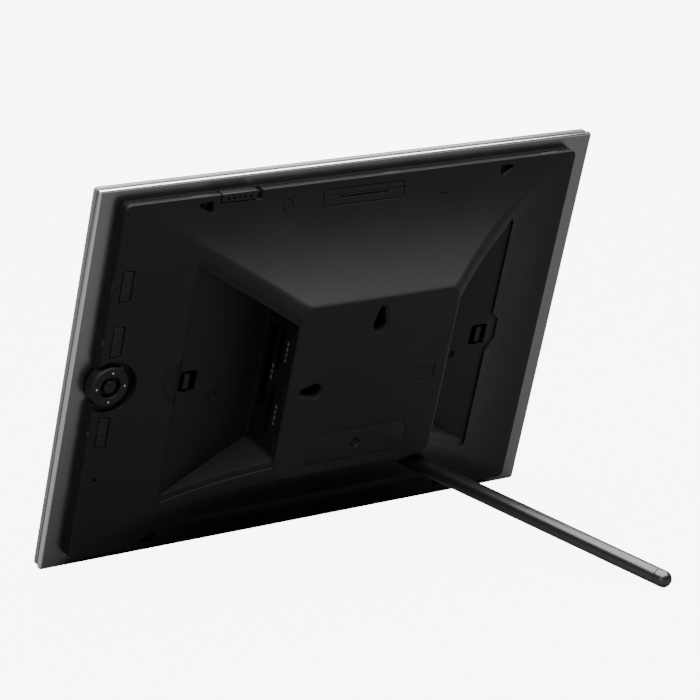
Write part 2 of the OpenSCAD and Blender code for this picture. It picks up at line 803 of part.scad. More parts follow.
front_panel();
front_mask();
panel_gasket();
bezel_frame();
lcd_panel();
lcd_backlight();
lcd_chassis();
lcd_brackets();
main_board();
board_posts();
board_screws();
shield_can();
board_chips();
cf_socket();
card_board();
card_board_spacers();
sd_socket_upper();
sd_socket_lower();
card_slot_insert();
access_lamps();
port_insert();
dc_inlet();
usb_socket();
mini_usb_socket();
coin_cell();
speaker();
ribbon_cable();
button_board();
button_domes();
top_board();
power_switch();
rear_cover();
keyhole_plates();
access_door();
door_screw();
cover_screws();
cover_latches();
round_plug();
import_trim();
import_button();
power_slider();
side_button_upper();
side_button_middle();
side_button_lower();
pad_pivot();
pad_ring();
pad_centre_button();
leg_socket();
leg_magnets();
leg_rod();
leg_stud();
leg_foot();
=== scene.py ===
"""Looks of a ten-inch digital photo frame that stands on a screw-in leg, seen from behind.

Meshes are drawn upright in millimetres (x across, d out of the back, z up the frame) and are
leaned into place by Upright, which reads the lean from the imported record's wall face.
"""

from __future__ import annotations

import json
import logging
import math
from dataclasses import dataclass
from enum import Enum
from typing import Callable, Iterable, Sequence

import bmesh
import bpy
from mathutils import Matrix, Vector
from mathutils.bvhtree import BVHTree
from mathutils.interpolate import poly_3d_calc

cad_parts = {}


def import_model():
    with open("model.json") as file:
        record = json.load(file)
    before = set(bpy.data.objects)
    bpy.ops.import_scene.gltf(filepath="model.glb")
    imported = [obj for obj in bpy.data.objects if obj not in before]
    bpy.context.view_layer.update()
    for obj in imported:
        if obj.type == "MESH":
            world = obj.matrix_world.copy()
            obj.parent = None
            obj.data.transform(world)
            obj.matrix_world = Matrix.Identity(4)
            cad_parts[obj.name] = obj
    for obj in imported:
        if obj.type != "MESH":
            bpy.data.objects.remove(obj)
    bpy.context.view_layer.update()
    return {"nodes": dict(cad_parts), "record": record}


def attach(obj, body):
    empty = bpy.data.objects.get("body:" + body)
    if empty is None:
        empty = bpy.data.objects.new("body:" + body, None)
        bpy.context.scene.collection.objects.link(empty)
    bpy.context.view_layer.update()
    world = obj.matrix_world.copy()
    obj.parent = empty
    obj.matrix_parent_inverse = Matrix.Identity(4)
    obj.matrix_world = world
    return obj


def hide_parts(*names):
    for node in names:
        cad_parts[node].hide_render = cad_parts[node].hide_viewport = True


LOG = logging.getLogger("photo_frame")
MM = 0.001

Point2 = tuple[float, float]
Ring = list[Vector]
Piece = bpy.types.Object

BACK = Vector((0, 1, 0))
KEY_X = 123.9
KEY_HEIGHTS = (147.8, 119.5, 72.3)
PAD_Z = 96.3
RESET_Z = 47.1
IMPORT_X = (-24.9, 22)
SLIDER_X = (59.9, 79.5)
PLUG = (42.2, 179.4)
DOOR_SCREW = (0.6, 64.7)


# --- Upright space


@dataclass(frozen=True)
class Upright:
    """The frame's own upright space, and the way from it to the standing frame."""

    lean: float
    place: Matrix

    @classmethod
    def from_record(cls, record: dict, face_depth: float, face_height: float) -> "Upright":
        """Works the lean out from the wall face.

        Args:
            record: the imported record.
            face_depth: depth of the wall face, in millimetres.
            face_height: height at which the wall face's point lies, in millimetres.

        Returns:
            The upright space.
        """
        face = next(m for m in record["mounts"] if m["name"] == "wall_face")
        lean = math.atan2(-face["axis"][2], face["axis"][1])
        turn = Matrix.Rotation(-lean, 4, "X") @ Matrix.Scale(MM, 4)
        shift = Vector(face["pos_m"]) - turn @ Vector((0, face_depth, face_height))
        return cls(lean, Matrix.Translation(shift) @ turn)

    def box(self, node: str) -> tuple[Vector, Vector]:
        """Finds the upright box round a CAD node.

        Args:
            node: name of the node.

        Returns:
            Its lowest and its highest corner, in upright millimetres.
        """
        back = self.place.inverted()
        points = [back @ v.co for v in bpy.data.objects[node].data.vertices]
        low = Vector([min(p[i] for p in points) for i in range(3)])
        high = Vector([max(p[i] for p in points) for i in range(3)])
        return low, high


# --- Outlines, in x and z


def arc(cx: float, cz: float, r: float, start: float, end: float, steps: int) -> list[Point2]:
    """Returns points along an arc, with the angles in degrees."""
    angles = [math.radians(start + (end - start) * i / steps) for i in range(steps + 1)]
    return [(cx + r * math.cos(a), cz + r * math.sin(a)) for a in angles]


def circle(cx: float, cz: float, r: float, steps: int = 40) -> list[Point2]:
    """Returns a round outline."""
    return arc(cx, cz, r, 0, 360 * (1 - 1 / steps), steps - 1)


def round_rect(x0: float, x1: float, z0: float, z1: float, r: float, steps: int = 6) -> list[Point2]:
    """Returns the outline of a rectangle with round corners, anticlockwise."""
    r = max(r, 0.01)
    corners = ((x1 - r, z0 + r, -90), (x1 - r, z1 - r, 0), (x0 + r, z1 - r, 90), (x0 + r, z0 + r, 180))
    return [p for cx, cz, a in corners for p in arc(cx, cz, r, a, a + 90, steps)]


def grown(points: Sequence[Point2], r: float, steps: int = 6) -> list[Point2]:
    """Grows a convex anticlockwise polygon by r, with round corners.

    Args:
        points: the polygon's corners.
        r: how far the outline moves outwards.
        steps: facets in each round corner.

    Returns:
        The grown outline.
    """
    out: list[Point2] = []
    n = len(points)
    for i, (x, z) in enumerate(points):
        px, pz = points[i - 1]
        nx, nz = points[(i + 1) % n]
        a0 = math.degrees(math.atan2(z - pz, x - px)) - 90
        a1 = math.degrees(math.atan2(nz - z, nx - x)) - 90
        out += arc(x, z, r, a0, a0 + (a1 - a0) % 360, steps)
    return out


def keyhole(cx: float, cz: float, r1: float, r2: float, length: float, sideways: bool) -> list[Point2]:
    """Returns a keyhole outline: round end r1 at the centre, neck r2 at the given length.

    Args:
        cx: x of the round end.
        cz: z of the round end.
        r1: radius of the round end.
        r2: radius of the neck's end.
        length: distance between the two centres.
        sideways: whether the neck points to +x, and not up.

    Returns:
        The outline, anticlockwise.
    """
    side = math.degrees(math.asin((r1 - r2) / length))
    outline = arc(0, length, r2, side, 180 - side, 10) + arc(0, 0, r1, 180 - side, 360 + side, 24)
    if sideways:
        return [(cx + z, cz - x) for x, z in outline]
    return [(cx + x, cz + z) for x, z in outline]


def mirrored(points: Sequence[Point2]) -> list[Point2]:
    """Returns an outline mirrored to the other side of the frame, still anticlockwise."""
    return [(-x, z) for x, z in reversed(points)]


# --- Meshes


def mesh_object(name: str, points: Iterable[Vector], faces: Iterable[Sequence[int]]) -> Piece:
    """Makes an object from points and faces, with its faces turned outwards.

    Args:
        name: name of the object.
        points: its corners.
        faces: the corners' numbers, face by face.

    Returns:
        The new object.
    """
    mesh = bpy.data.meshes.new(name)
    mesh.from_pydata([tuple(p) for p in points], [], [tuple(f) for f in faces])
    work = bmesh.new()
    work.from_mesh(mesh)
    bmesh.ops.remove_doubles(work, verts=work.verts, dist=1e-5)
    bmesh.ops.recalc_face_normals(work, faces=work.faces)
    work.to_mesh(mesh)
    work.free()
    mesh.update()
    return placed(name, mesh)


def placed(name: str, data: bpy.types.ID) -> Piece:
    """Returns a new object that shows some data, linked to the scene."""
    made = bpy.data.objects.new(name, data)
    bpy.context.scene.collection.objects.link(made)
    return made


def loft(name: str, rings: Sequence[Ring], closed: bool = False) -> Piece:
    """Joins rings of equal length into a skin.

    Args:
        name: name of the object.
        rings: the rings, in order.
        closed: whether the last ring joins the first; otherwise both ends are capped.

    Returns:
        The new object.
    """
    n = len(rings[0])
    points = [p for ring in rings for p in ring]
    faces: list[list[int]] = []
    for k in range(len(rings) if closed else len(rings) - 1):
        a = k * n
        b = ((k + 1) % len(rings)) * n
        faces += [[a + i, a + (i + 1) % n, b + (i + 1) % n, b + i] for i in range(n)]
    if not closed:
        faces.append(list(range(n)))
        faces.append([(len(rings) - 1) * n + i for i in range(n)])
    return mesh_object(name, points, faces)


def ring(outline: Sequence[Point2], d: float) -> Ring:
    """Returns an outline as points at one depth."""
    return [Vector((x, d, z)) for x, z in outline]


def prism(name: str, outline: Sequence[Point2], d0: float, d1: float) -> Piece:
    """Makes a straight prism from depth d0 to depth d1."""
    return loft(name, [ring(outline, d0), ring(outline, d1)])


def block(name: str, low: Sequence[float], high: Sequence[float]) -> Piece:
    """Makes a rectangular block between two upright corners."""
    outline = [(low[0], low[2]), (high[0], low[2]), (high[0], high[2]), (low[0], high[2])]
    return prism(name, outline, low[1], high[1])


def lathe(name: str, profile: Sequence[Point2], centre: Vector, axis: Vector, steps: int = 64) -> Piece:
    """Turns a profile of radius and height about an axis.

    Args:
        name: name of the object.
        profile: radius and height pairs; a profile that starts and ends at radius 0 is solid.
        centre: where height 0 lies.
        axis: direction of growing height.
        steps: facets round the axis.

    Returns:
        The new object.
    """
    turn = axis.to_track_quat("Z", "Y")
    rings = []
    for r, h in profile:
        angles = [math.tau * i / steps for i in range(steps)]
        rings.append([centre + turn @ Vector((max(r, 1e-4) * math.cos(a), max(r, 1e-4) * math.sin(a), h))
                      for a in angles])
    solid = profile[0][0] < 1e-6 and profile[-1][0] < 1e-6
    return loft(name, rings, closed=not solid)


def rounded(r: float, low: float, high: float, edge: float, steps: int = 5) -> list[Point2]:
    """Returns the lathe profile of a solid disc with round edges at both faces."""
    lower = arc(r - edge, low + edge, edge, -90, 0, steps)
    upper = arc(r - edge, high - edge, edge, 0, 90, steps)
    return [(0.0, low)] + lower + upper + [(0.0, high)]


def cut(piece: Piece, cutters: Iterable[Piece], keep: bool = False,
        mode: str = "DIFFERENCE") -> Piece:
    """Cuts solids out of a piece, one after the other.

    Args:
        piece: the solid that is cut.
        cutters: the solids to take away.
        keep: whether the cutters stay for another use.
        mode: the boolean operation.

    Returns:
        The cut piece.
    """
    for cutter in cutters:
        step = piece.modifiers.new("cut", "BOOLEAN")
        step.operation = mode
        step.solver = "EXACT"
        step.object = cutter
        settle(piece)
        if not keep:
            discard(cutter)
    return piece


def settle(piece: Piece) -> Piece:
    """Applies every modifier of a piece to its mesh.

    Args:
        piece: the piece with modifiers.

    Returns:
        The same piece.
    """
    depsgraph = bpy.context.evaluated_depsgraph_get()
    solid = bpy.data.meshes.new_from_object(piece.evaluated_get(depsgraph))
    old = piece.data
    piece.modifiers.clear()
    piece.data = solid
    bpy.data.meshes.remove(old)
    return piece


def discard(piece: Piece) -> None:
    """Removes a helper object and its mesh."""
    mesh = piece.data
    bpy.data.objects.remove(piece)
    bpy.data.meshes.remove(mesh)


def soften(piece: Piece, width: float, segments: int = 3, angle: float = 32) -> Piece:
    """Rounds the edges of a clean solid with a real bevel.

    Args:
        piece: the solid.
        width: width of the bevel, in millimetres.
        segments: facets across the bevel.
        angle: edges that turn by less than this stay as they are, in degrees.

    Returns:
        The same piece.
    """
    step = piece.modifiers.new("soft_edges", "BEVEL")
    step.width = width
    step.segments = segments
    step.limit_method = "ANGLE"
    step.angle_limit = math.radians(angle)
    step.harden_normals = False
    return settle(piece)


def smooth(piece: Piece, angle: float = 32) -> Piece:
    """Shades a piece smooth, and keeps its sharp edges.

    Args:
        piece: the piece.
        angle: edges that turn by more than this stay sharp, in degrees.

    Returns:
        The same piece.
    """
    mesh = piece.data
    mesh.polygons.foreach_set("use_smooth", [True] * len(mesh.polygons))
    mesh.set_sharp_from_angle(angle=math.radians(angle))
    mesh.update()
    return piece


def join(name: str, pieces: Sequence[Piece]) -> Piece:
    """Joins separate solids into one object, which keeps their smooth faces.

    Args:
        name: name of the new object.
        pieces: the solids, which are removed.

    Returns:
        The new object.
    """
    work = bmesh.new()
    for piece in pieces:
        work.from_mesh(piece.data)
    mesh = bpy.data.meshes.new(name)
    work.to_mesh(mesh)
    work.free()
    for piece in pieces:
        discard(piece)
    return placed(name, mesh)


def inherit_normals(piece: Piece, source: Piece, reach: float, least_depth: float) -> None:
    """Gives the faces of a cut piece that lie on an uncut skin that skin's smooth normals.

    Args:
        piece: the cut piece.
        source: the uncut, smooth skin.
        reach: how far from the skin a face may lie, in millimetres.
        least_depth: faces less deep than this keep their own normals.
    """
    skin = source.data
    tree = BVHTree.FromPolygons([v.co for v in skin.vertices], [p.vertices for p in skin.polygons])
    mesh = piece.data
    flat = [tuple(n.vector) for n in mesh.corner_normals]
    for face in mesh.polygons:
        spot, normal, index, gap = tree.find_nearest(face.center)
        if spot is None or gap > reach or normal.dot(face.normal) < 0.8 or face.center.y < least_depth:
            continue
        for corner in face.loop_indices:
            at = mesh.vertices[mesh.loops[corner].vertex_index].co
            spot, normal, index, gap = tree.find_nearest(at)
            ring_of = skin.polygons[index].vertices
            weights = poly_3d_calc([skin.vertices[i].co for i in ring_of], spot)
            blend = sum((skin.vertices[i].normal * w for i, w in zip(ring_of, weights)), Vector())
            flat[corner] = tuple(blend.normalized())
    mesh.normals_split_custom_set(flat)


# --- Shader node groups


OUTPUTS = {"Color": "NodeSocketColor", "Roughness": "NodeSocketFloat", "Height": "NodeSocketFloat"}


class GroupBuilder:
    """Builds a shader node group with named inputs, and Color, Roughness and Height outputs."""

    def __init__(self, name: str, **inputs: object) -> None:
        """Makes the empty group.

        Args:
            name: name of the group.
            inputs: input names, each with a value; its length tells the socket's type.
        """
        self.tree = bpy.data.node_groups.new(name, "ShaderNodeTree")
        kinds = {4: "NodeSocketColor", 3: "NodeSocketVector"}
        for label, value in inputs.items():
            kind = kinds[len(value)] if isinstance(value, tuple) else "NodeSocketFloat"
            socket = self.tree.interface.new_socket(label, in_out="INPUT", socket_type=kind)
            socket.default_value = value
        for label, kind in OUTPUTS.items():
            self.tree.interface.new_socket(label, in_out="OUTPUT", socket_type=kind)
        self.source = self.tree.nodes.new("NodeGroupInput")
        self.sink = self.tree.nodes.new("NodeGroupOutput")

    def node(self, kind: str, *feeds: object, **values: object) -> bpy.types.Node:
        """Adds a node, and fills its first inputs with links or constants.

        Args:
            kind: the node's type, without its ShaderNode prefix.
            feeds: a socket, a number, or None to skip, for each input in turn.
            values: property names, or input names, with their values.

        Returns:
            The new node.
        """
        made = add_node(self.tree, "ShaderNode" + kind, **values)
        for slot, feed in zip(made.inputs, feeds):
            self.feed(slot, feed)
        return made

    def feed(self, slot: bpy.types.NodeSocket, value: object) -> None:
        """Links a socket to an input, or sets the input to a constant."""
        if isinstance(value, bpy.types.NodeSocket):
            self.tree.links.new(value, slot)
        elif value is not None:
            slot.default_value = value

    def noise(self, vector: bpy.types.NodeSocket, scale: object, **values: object) -> bpy.types.NodeSocket:
        """Adds a noise texture.

        Args:
            vector: where it is read.
            scale: its scale, as a number or a socket.
            values: other inputs with their values.

        Returns:
            Its Fac output.
        """
        made = self.node("TexNoise", vector, **values)
        self.feed(made.inputs["Scale"], scale)
        return made.outputs["Fac"]

    def maths(self, operation: str, *feeds: object) -> bpy.types.NodeSocket:
        """Adds a math node and returns its output."""
        return self.node("Math", *feeds, operation=operation).outputs[0]

    def given(self, label: str) -> bpy.types.NodeSocket:
        """Returns one of the group's inputs."""
        return self.source.outputs[label]

    def finish(self, color: bpy.types.NodeSocket, roughness: bpy.types.NodeSocket,
               height: bpy.types.NodeSocket) -> bpy.types.NodeTree:
        """Links the three outputs and returns the group."""
        for label, value in zip(OUTPUTS, (color, roughness, height)):
            self.tree.links.new(value, self.sink.inputs[label])
        return self.tree

    def scaled(self, amount: bpy.types.NodeSocket) -> bpy.types.NodeSocket:
        """Returns the group's Color input, made lighter or darker."""
        tint = self.node("VectorMath", self.given("Color"), operation="SCALE")
        self.feed(tint.inputs["Scale"], amount)
        return tint.outputs[0]


def add_node(tree: bpy.types.NodeTree, kind: str, **values: object) -> bpy.types.Node:
    """Adds a node to a tree.

    Args:
        tree: the node tree.
        kind: the node's type.
        values: property names, or input names with underscores for spaces, with their values.

    Returns:
        The new node.
    """
    made = tree.nodes.new(kind)
    for label, value in values.items():
        if hasattr(made, label):
            setattr(made, label, value)
        else:
            made.inputs[label.replace("_", " ")].default_value = value
    return made


def grain_group() -> bpy.types.NodeTree:
    """Builds the fine grain of moulded plastic, with faint patches, and dust on what faces up."""
    g = GroupBuilder("moulded_grain", Color=(0.02, 0.02, 0.02, 1), Scale=2600.0, Patches=0.15,
                     Roughness=0.5, Dust=0.02)
    place = g.node("TexCoord").outputs["Object"]
    fine = g.noise(place, g.given("Scale"), Detail=3.0, Roughness=0.65)
    pits = g.node("TexVoronoi", place, feature="SMOOTH_F1", Smoothness=0.6)
    g.feed(pits.inputs["Scale"], g.maths("MULTIPLY", g.given("Scale"), 0.6))
    broad = g.noise(place, 38.0, Detail=4.0, Roughness=0.55)
    height = g.maths("MULTIPLY_ADD", pits.outputs["Distance"], 0.5, fine)
    spread = g.node("MapRange", broad, To_Min=-1.0, To_Max=1.0).outputs["Result"]
    tint = g.scaled(g.maths("MULTIPLY_ADD", spread, g.given("Patches"), 1.0))
    up = g.node("SeparateXYZ", g.node("NewGeometry").outputs["Normal"])
    lying = g.node("MapRange", up.outputs["Z"], From_Min=0.2, From_Max=1.0).outputs["Result"]
    veil = g.maths("MULTIPLY", g.maths("MULTIPLY", lying, fine), g.given("Dust"))
    mix = g.node("Mix", veil, data_type="RGBA")
    g.feed(mix.inputs[6], tint)
    g.feed(mix.inputs[7], (0.5, 0.49, 0.47, 1))
    return g.finish(mix.outputs[2], g.maths("MULTIPLY_ADD", spread, 0.12, g.given("Roughness")), height)


def satin_group() -> bpy.types.NodeTree:
    """Builds the drawn-out fine lines and soft blotches of satin metal."""
    g = GroupBuilder("satin_lines", Color=(0.5, 0.5, 0.5, 1), Stretch=(1.0, 1.0, 1.0), Scale=900.0,
                     Roughness=0.3, Spread=0.08)
    place = g.node("TexCoord").outputs["Object"]
    stretch = g.node("VectorMath", place, g.given("Stretch"), operation="MULTIPLY")
    lines = g.noise(stretch.outputs[0], g.given("Scale"), Detail=4.0, Roughness=0.6)
    smear = g.noise(place, 22.0, Detail=3.0)
    both = g.maths("ADD", lines, smear)
    spread = g.node("MapRange", both, From_Min=0.5, From_Max=1.5, To_Min=-1.0, To_Max=1.0).outputs["Result"]
    rough = g.maths("MULTIPLY_ADD", spread, g.given("Spread"), g.given("Roughness"))
    return g.finish(g.scaled(g.maths("MULTIPLY_ADD", spread, 0.07, 1.0)), rough, lines)


def board_group() -> bpy.types.NodeTree:
    """Builds the copper tracks that show through a circuit board's green lacquer."""
    g = GroupBuilder("board_tracks", Color=(0.02, 0.17, 0.08, 1), Track=(0.05, 0.3, 0.14, 1))
    place = g.node("TexCoord").outputs["Object"]
    tracks = g.node("TexBrick", place, Scale=120.0, Mortar_Size=0.035, offset=0.37).outputs["Fac"]
    mix = g.node("Mix", tracks, data_type="RGBA")
    g.feed(mix.inputs[6], g.given("Color"))
    g.feed(mix.inputs[7], g.given("Track"))
    rough = g.node("MapRange", g.noise(place, 600.0, Detail=2.0), To_Min=0.25, To_Max=0.5)
    return g.finish(mix.outputs[2], rough.outputs["Result"], tracks)


# --- Finishes


class Surface(Enum):
    """The shader group that gives a finish its surface."""

    GRAIN = "grain"
    SATIN = "satin"
    BOARD = "board"


MAKERS: dict[Surface, Callable[[], bpy.types.NodeTree]] = {
    Surface.GRAIN: grain_group, Surface.SATIN: satin_group, Surface.BOARD: board_group}


@dataclass(frozen=True)
class Finish:
    """One material: a shader group's surface on a shader with plain values of its own."""

    name: str
    color: tuple[float, float, float]
    roughness: float
    surface: Surface = Surface.GRAIN
    metallic: float = 0.0
    specular: float = 0.5
    bump: float = 0.1
    bump_depth: float = 0.00004
    soft_edge: float = 0.0
    coat: float = 0.0
    scale: float | None = None
    patches: float | None = None
    dust: float | None = None
    stretch: tuple[float, float, float] | None = None
    spread: float | None = None
    track: tuple[float, float, float, float] | None = None

    def build(self, group: bpy.types.NodeTree) -> bpy.types.Material:
        """Makes the material.

        Args:
            group: the shader group of its surface.

        Returns:
            The material.
        """
        material = bpy.data.materials.new(self.name)
        material.use_nodes = True
        tree = material.node_tree
        shader = tree.nodes["Principled BSDF"]
        shader.inputs["Metallic"].default_value = self.metallic
        shader.inputs["Specular IOR Level"].default_value = self.specular
        shader.inputs["Coat Weight"].default_value = self.coat
        skin = tree.nodes.new("ShaderNodeGroup")
        skin.node_tree = group
        skin.inputs["Color"].default_value = (*self.color, 1)
        if "Roughness" in skin.inputs:
            skin.inputs["Roughness"].default_value = self.roughness
        for label in ("Scale", "Patches", "Dust", "Stretch", "Spread", "Track"):
            value = getattr(self, label.lower())
            if value is not None:
                skin.inputs[label].default_value = value
        tree.links.new(skin.outputs["Color"], shader.inputs["Base Color"])
        tree.links.new(skin.outputs["Roughness"], shader.inputs["Roughness"])
        if self.bump == 0:
            return material
        relief = add_node(tree, "ShaderNodeBump", Strength=self.bump, Distance=self.bump_depth)
        tree.links.new(skin.outputs["Height"], relief.inputs["Height"])
        tree.links.new(relief.outputs["Normal"], shader.inputs["Normal"])
        if self.soft_edge > 0:
            edge = add_node(tree, "ShaderNodeBevel", Radius=self.soft_edge, samples=4)
            tree.links.new(edge.outputs["Normal"], relief.inputs["Normal"])
        return material


class Finishes:
    """Every finish of the object, built on first use."""

    TABLE = (
        Finish("black_cover", (0.0085, 0.0085, 0.009), 0.5, specular=0.3, bump=0.55, bump_depth=0.00006,
               soft_edge=0.0004, scale=2300.0, patches=0.10, dust=0.01),
        Finish("black_keys", (0.008, 0.008, 0.0088), 0.42, specular=0.35, bump=0.4, soft_edge=0.0002,
               scale=2600.0, patches=0.08, dust=0.01),
        Finish("black_socket", (0.003, 0.003, 0.0033), 0.5, specular=0.3, bump=0.25, scale=1800.0,
               patches=0.12, dust=0.01),
        Finish("bezel_metal", (0.27, 0.273, 0.28), 0.3, Surface.SATIN, metallic=1.0, bump=0.0, scale=900.0,
               stretch=(0.15, 1.0, 1.0), spread=0.04),
        # The next finish is a much brighter copy of the bezel metal, made for the bezel's round edge: a
        # painted highlight on the same metal.
        Finish("edge_painted_highlight", (0.88, 0.885, 0.89), 0.14, Surface.SATIN, metallic=1.0, bump=0.0,
               scale=900.0, stretch=(0.15, 1.0, 1.0), spread=0.03),
        Finish("leg_metal", (0.11, 0.112, 0.116), 0.3, Surface.SATIN, metallic=1.0, bump=0.0, scale=1100.0,
               stretch=(1.0, 0.12, 1.0), spread=0.04),
        Finish("sheet_edge", (0.22, 0.225, 0.23), 0.12, Surface.SATIN, specular=0.6, bump=0.03, coat=0.3,
               scale=300.0, spread=0.04),
        Finish("mask_print", (0.008, 0.008, 0.009), 0.28, bump=0.1, patches=0.06, dust=0.0),
        Finish("gasket_foam", (0.012, 0.012, 0.013), 0.85, bump=0.8, scale=1500.0, dust=0.0),
        Finish("display_glass", (0.010, 0.012, 0.018), 0.12, bump=0.02, coat=0.6, scale=400.0, patches=0.2,
               dust=0.0),
        Finish("light_guide", (0.72, 0.74, 0.75), 0.4, bump=0.05, patches=0.05, dust=0.0),
        Finish("plated_sheet", (0.52, 0.53, 0.54), 0.32, Surface.SATIN, metallic=1.0, bump=0.1,
               scale=700.0, stretch=(1.0, 1.0, 0.2), spread=0.1),
        Finish("board_green", (0.012, 0.13, 0.06), 0.3, Surface.BOARD, bump=0.3,
               track=(0.03, 0.24, 0.11, 1)),
        Finish("turned_brass", (0.62, 0.44, 0.15), 0.28, Surface.SATIN, metallic=1.0, bump=0.12,
               scale=1500.0, spread=0.08),
        # A dark metal finish; on the leg's socket and on the keyhole plates its darkness is painted shade in
        # the gap and inside the holes.
        Finish("dark_tin_and_painted_shade", (0.05, 0.05, 0.052), 0.42, Surface.SATIN, metallic=1.0, bump=0.06, scale=800.0,
               spread=0.08),
        Finish("dark_screw", (0.006, 0.006, 0.0065), 0.7, Surface.SATIN, metallic=0.0, bump=0.15,
               scale=1800.0, spread=0.1),
        Finish("tinned_metal", (0.6, 0.61, 0.62), 0.25, Surface.SATIN, metallic=1.0, bump=0.08,
               scale=800.0, spread=0.08),
        Finish("lamp_pipe", (0.012, 0.012, 0.013), 0.16, bump=0.05, coat=0.4, patches=0.1, dust=0.0),
        Finish("white_mark", (0.62, 0.62, 0.62), 0.6, bump=0.2, patches=0.1, dust=0.0),
        Finish("dim_mark", (0.08, 0.08, 0.08), 0.6, bump=0.2, patches=0.1, dust=0.0),
        Finish("grey_mark", (0.09, 0.09, 0.093), 0.6, bump=0.2, patches=0.1, dust=0.0),
        Finish("foot_rubber", (0.07, 0.07, 0.074), 0.45, bump=0.4, scale=1200.0, patches=0.12, dust=0.03),
        Finish("magnet_plate", (0.55, 0.55, 0.57), 0.2, Surface.SATIN, metallic=1.0, bump=0.05),
        Finish("ribbon_film", (0.45, 0.22, 0.05), 0.35, bump=0.1, scale=500.0, dust=0.0),
        Finish("pale_floor", (0.13, 0.13, 0.13), 0.7, bump=0.05, scale=60.0, patches=0.008, dust=0.0),
    )

    def __init__(self) -> None:
        """Starts with no material made."""
        self.groups: dict[Surface, bpy.types.NodeTree] = {}
        self.made: dict[str, bpy.types.Material] = {}

    def get(self, name: str) -> bpy.types.Material:
        """Finds a finish's material, and builds it the first time.

        Args:
            name: name of the finish.

        Returns:
            The material.
        """
        if name not in self.made:
            finish = next(f for f in self.TABLE if f.name == name)
            if finish.surface not in self.groups:
                self.groups[finish.surface] = MAKERS[finish.surface]()
            self.made[name] = finish.build(self.groups[finish.surface])
        return self.made[name]


# --- Sub-assemblies


@dataclass
class Assembly:
    """What every sub-assembly shares: its place in space, the frame and the finishes."""

    space: Upright
    nodes: dict[str, Piece]
    finishes: Finishes

    def dress(self, finish: str, *names: str) -> None:
        """Gives CAD nodes a finish.

        Args:
            finish: name of the finish.
            names: the nodes' names.
        """
        for name in names:
            mesh = self.nodes[name].data
            mesh.materials.clear()
            mesh.materials.append(self.finishes.get(finish))
            LOG.info("dressed %s in %s", name, finish)

    def add(self, piece: Piece, body: str, finish: str, slot: str,
            replaces: Sequence[str] = ()) -> Piece:
        """Leans a finished piece into place and gives it to a body.

        Args:
            piece: the piece, drawn upright in millimetres.
            body: the CAD body that it rides on.
            finish: name of its finish.
            slot: the record's material slot; not used.
            replaces: CAD nodes that it stands for.

        Returns:
            The piece.
        """
        piece.data.transform(self.space.place)
        piece.data.materials.clear()
        piece.data.materials.append(self.finishes.get(finish))
        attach(piece, body)
        if replaces:
            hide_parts(*replaces)
        LOG.info("added %s on %s, %d faces", piece.name, body, len(piece.data.polygons))
        return piece


@dataclass
class DisplayFront(Assembly):
    """The clear sheet, the mask, the gasket, the metal bezel and the display behind them."""

    half_width: float = 142.8
    foot: float = -1.3
    top: float = 194.8
    corner: float = 1.5
    edge: float = 1.0
    sheet_in: float = 0.5
    strip_fall: float = 0.8
    cover_x: float = 130.45
    cover_z: Point2 = (4.7, 188.5)

    def outline(self, inset: float, corner: float) -> list[Point2]:
        """Returns the front's outline, moved inwards."""
        half = self.half_width
        return round_rect(-half + inset, half - inset, self.foot + inset, self.top - inset, corner)

    def build(self) -> None:
        """Builds every piece of the front."""
        self.sheet()
        self.bezel()
        self.dress("mask_print", "front_mask")
        self.dress("gasket_foam", "panel_gasket")
        self.dress("display_glass", "lcd_panel")
        self.dress("light_guide", "lcd_backlight")
        self.dress("plated_sheet", "lcd_chassis", "lcd_brackets")

    def sheet(self) -> None:
        """Builds the clear front sheet with polished, slightly broken edges."""
        low, high = self.space.box("front_panel")
        rings = [ring(self.outline(self.sheet_in + inset, self.corner), d) for inset, d in (
            (0.3, low.y), (0.08, low.y + 0.08), (0.0, low.y + 0.3), (0.0, high.y - 0.32),
            (0.1, high.y - 0.22), (0.7, high.y - 0.2), (0.75, high.y))]
        piece = smooth(loft("clear_front_sheet", rings), 50)
        self.add(piece, "frame", "sheet_edge", "clear_sheet", ["front_panel"])

    def bezel(self) -> None:
        """Builds the metal bezel: a round outer edge, made much brighter than the strips as a painted
        highlight, and rear strips that fall to the cover.
        """
        low, high = self.space.box("bezel_frame")
        window = round_rect(-113, 113, 28.5, 165, 0.5)
        tray = round_rect(-116.9, 116.9, 24.9, 168.6, 0.5)
        steps = 8
        rings = [ring(window, low.y + 0.6), ring(window, low.y)]
        for centre, start in ((low.y + self.edge, -90), (-self.edge, 0)):
            for i in range(steps + 1):
                a = math.radians(start + 90 * i / steps)
                inset = self.edge * (1 - math.cos(a))
                d = centre + self.edge * math.sin(a)
                rings.append(ring(self.outline(inset, max(self.corner - inset, 0.05)), d))
        for inset in (0.15, 0.3):
            rings.append(ring(self.outline(self.edge + inset, 0.05), -0.02))
        x = self.cover_x
        z0, z1 = self.cover_z
        rings.append(ring(round_rect(-x, x, z0, z1, 0.05), -self.strip_fall))
        rings.append(ring(round_rect(-x + 1, x - 1, z0 + 1, z1 - 1, 0.05), -self.strip_fall))
        rings.append(ring(tray, -self.strip_fall))
        rings.append(ring(tray, low.y + 0.6))
        piece = smooth(loft("metal_bezel", rings, closed=True), 14)
        highlit_faces = [i for i, face in enumerate(piece.data.polygons) if self.on_edge(face.center)]
        self.add(piece, "frame", "bezel_metal", "bezel_metal", ["bezel_frame"])
        # The round edge's faces get a much brighter copy of the metal: a painted highlight.
        piece.data.materials.append(self.finishes.get("edge_painted_highlight"))
        for i in highlit_faces:
            piece.data.polygons[i].material_index = 1

    def on_edge(self, at: Vector) -> bool:
        """Returns whether a point lies on the round edge of the bezel, which carries the painted highlight.
        """
        reach = self.edge - 0.02
        return (abs(at.x) > self.half_width - reach or at.z < self.foot + reach or at.z > self.top - reach)


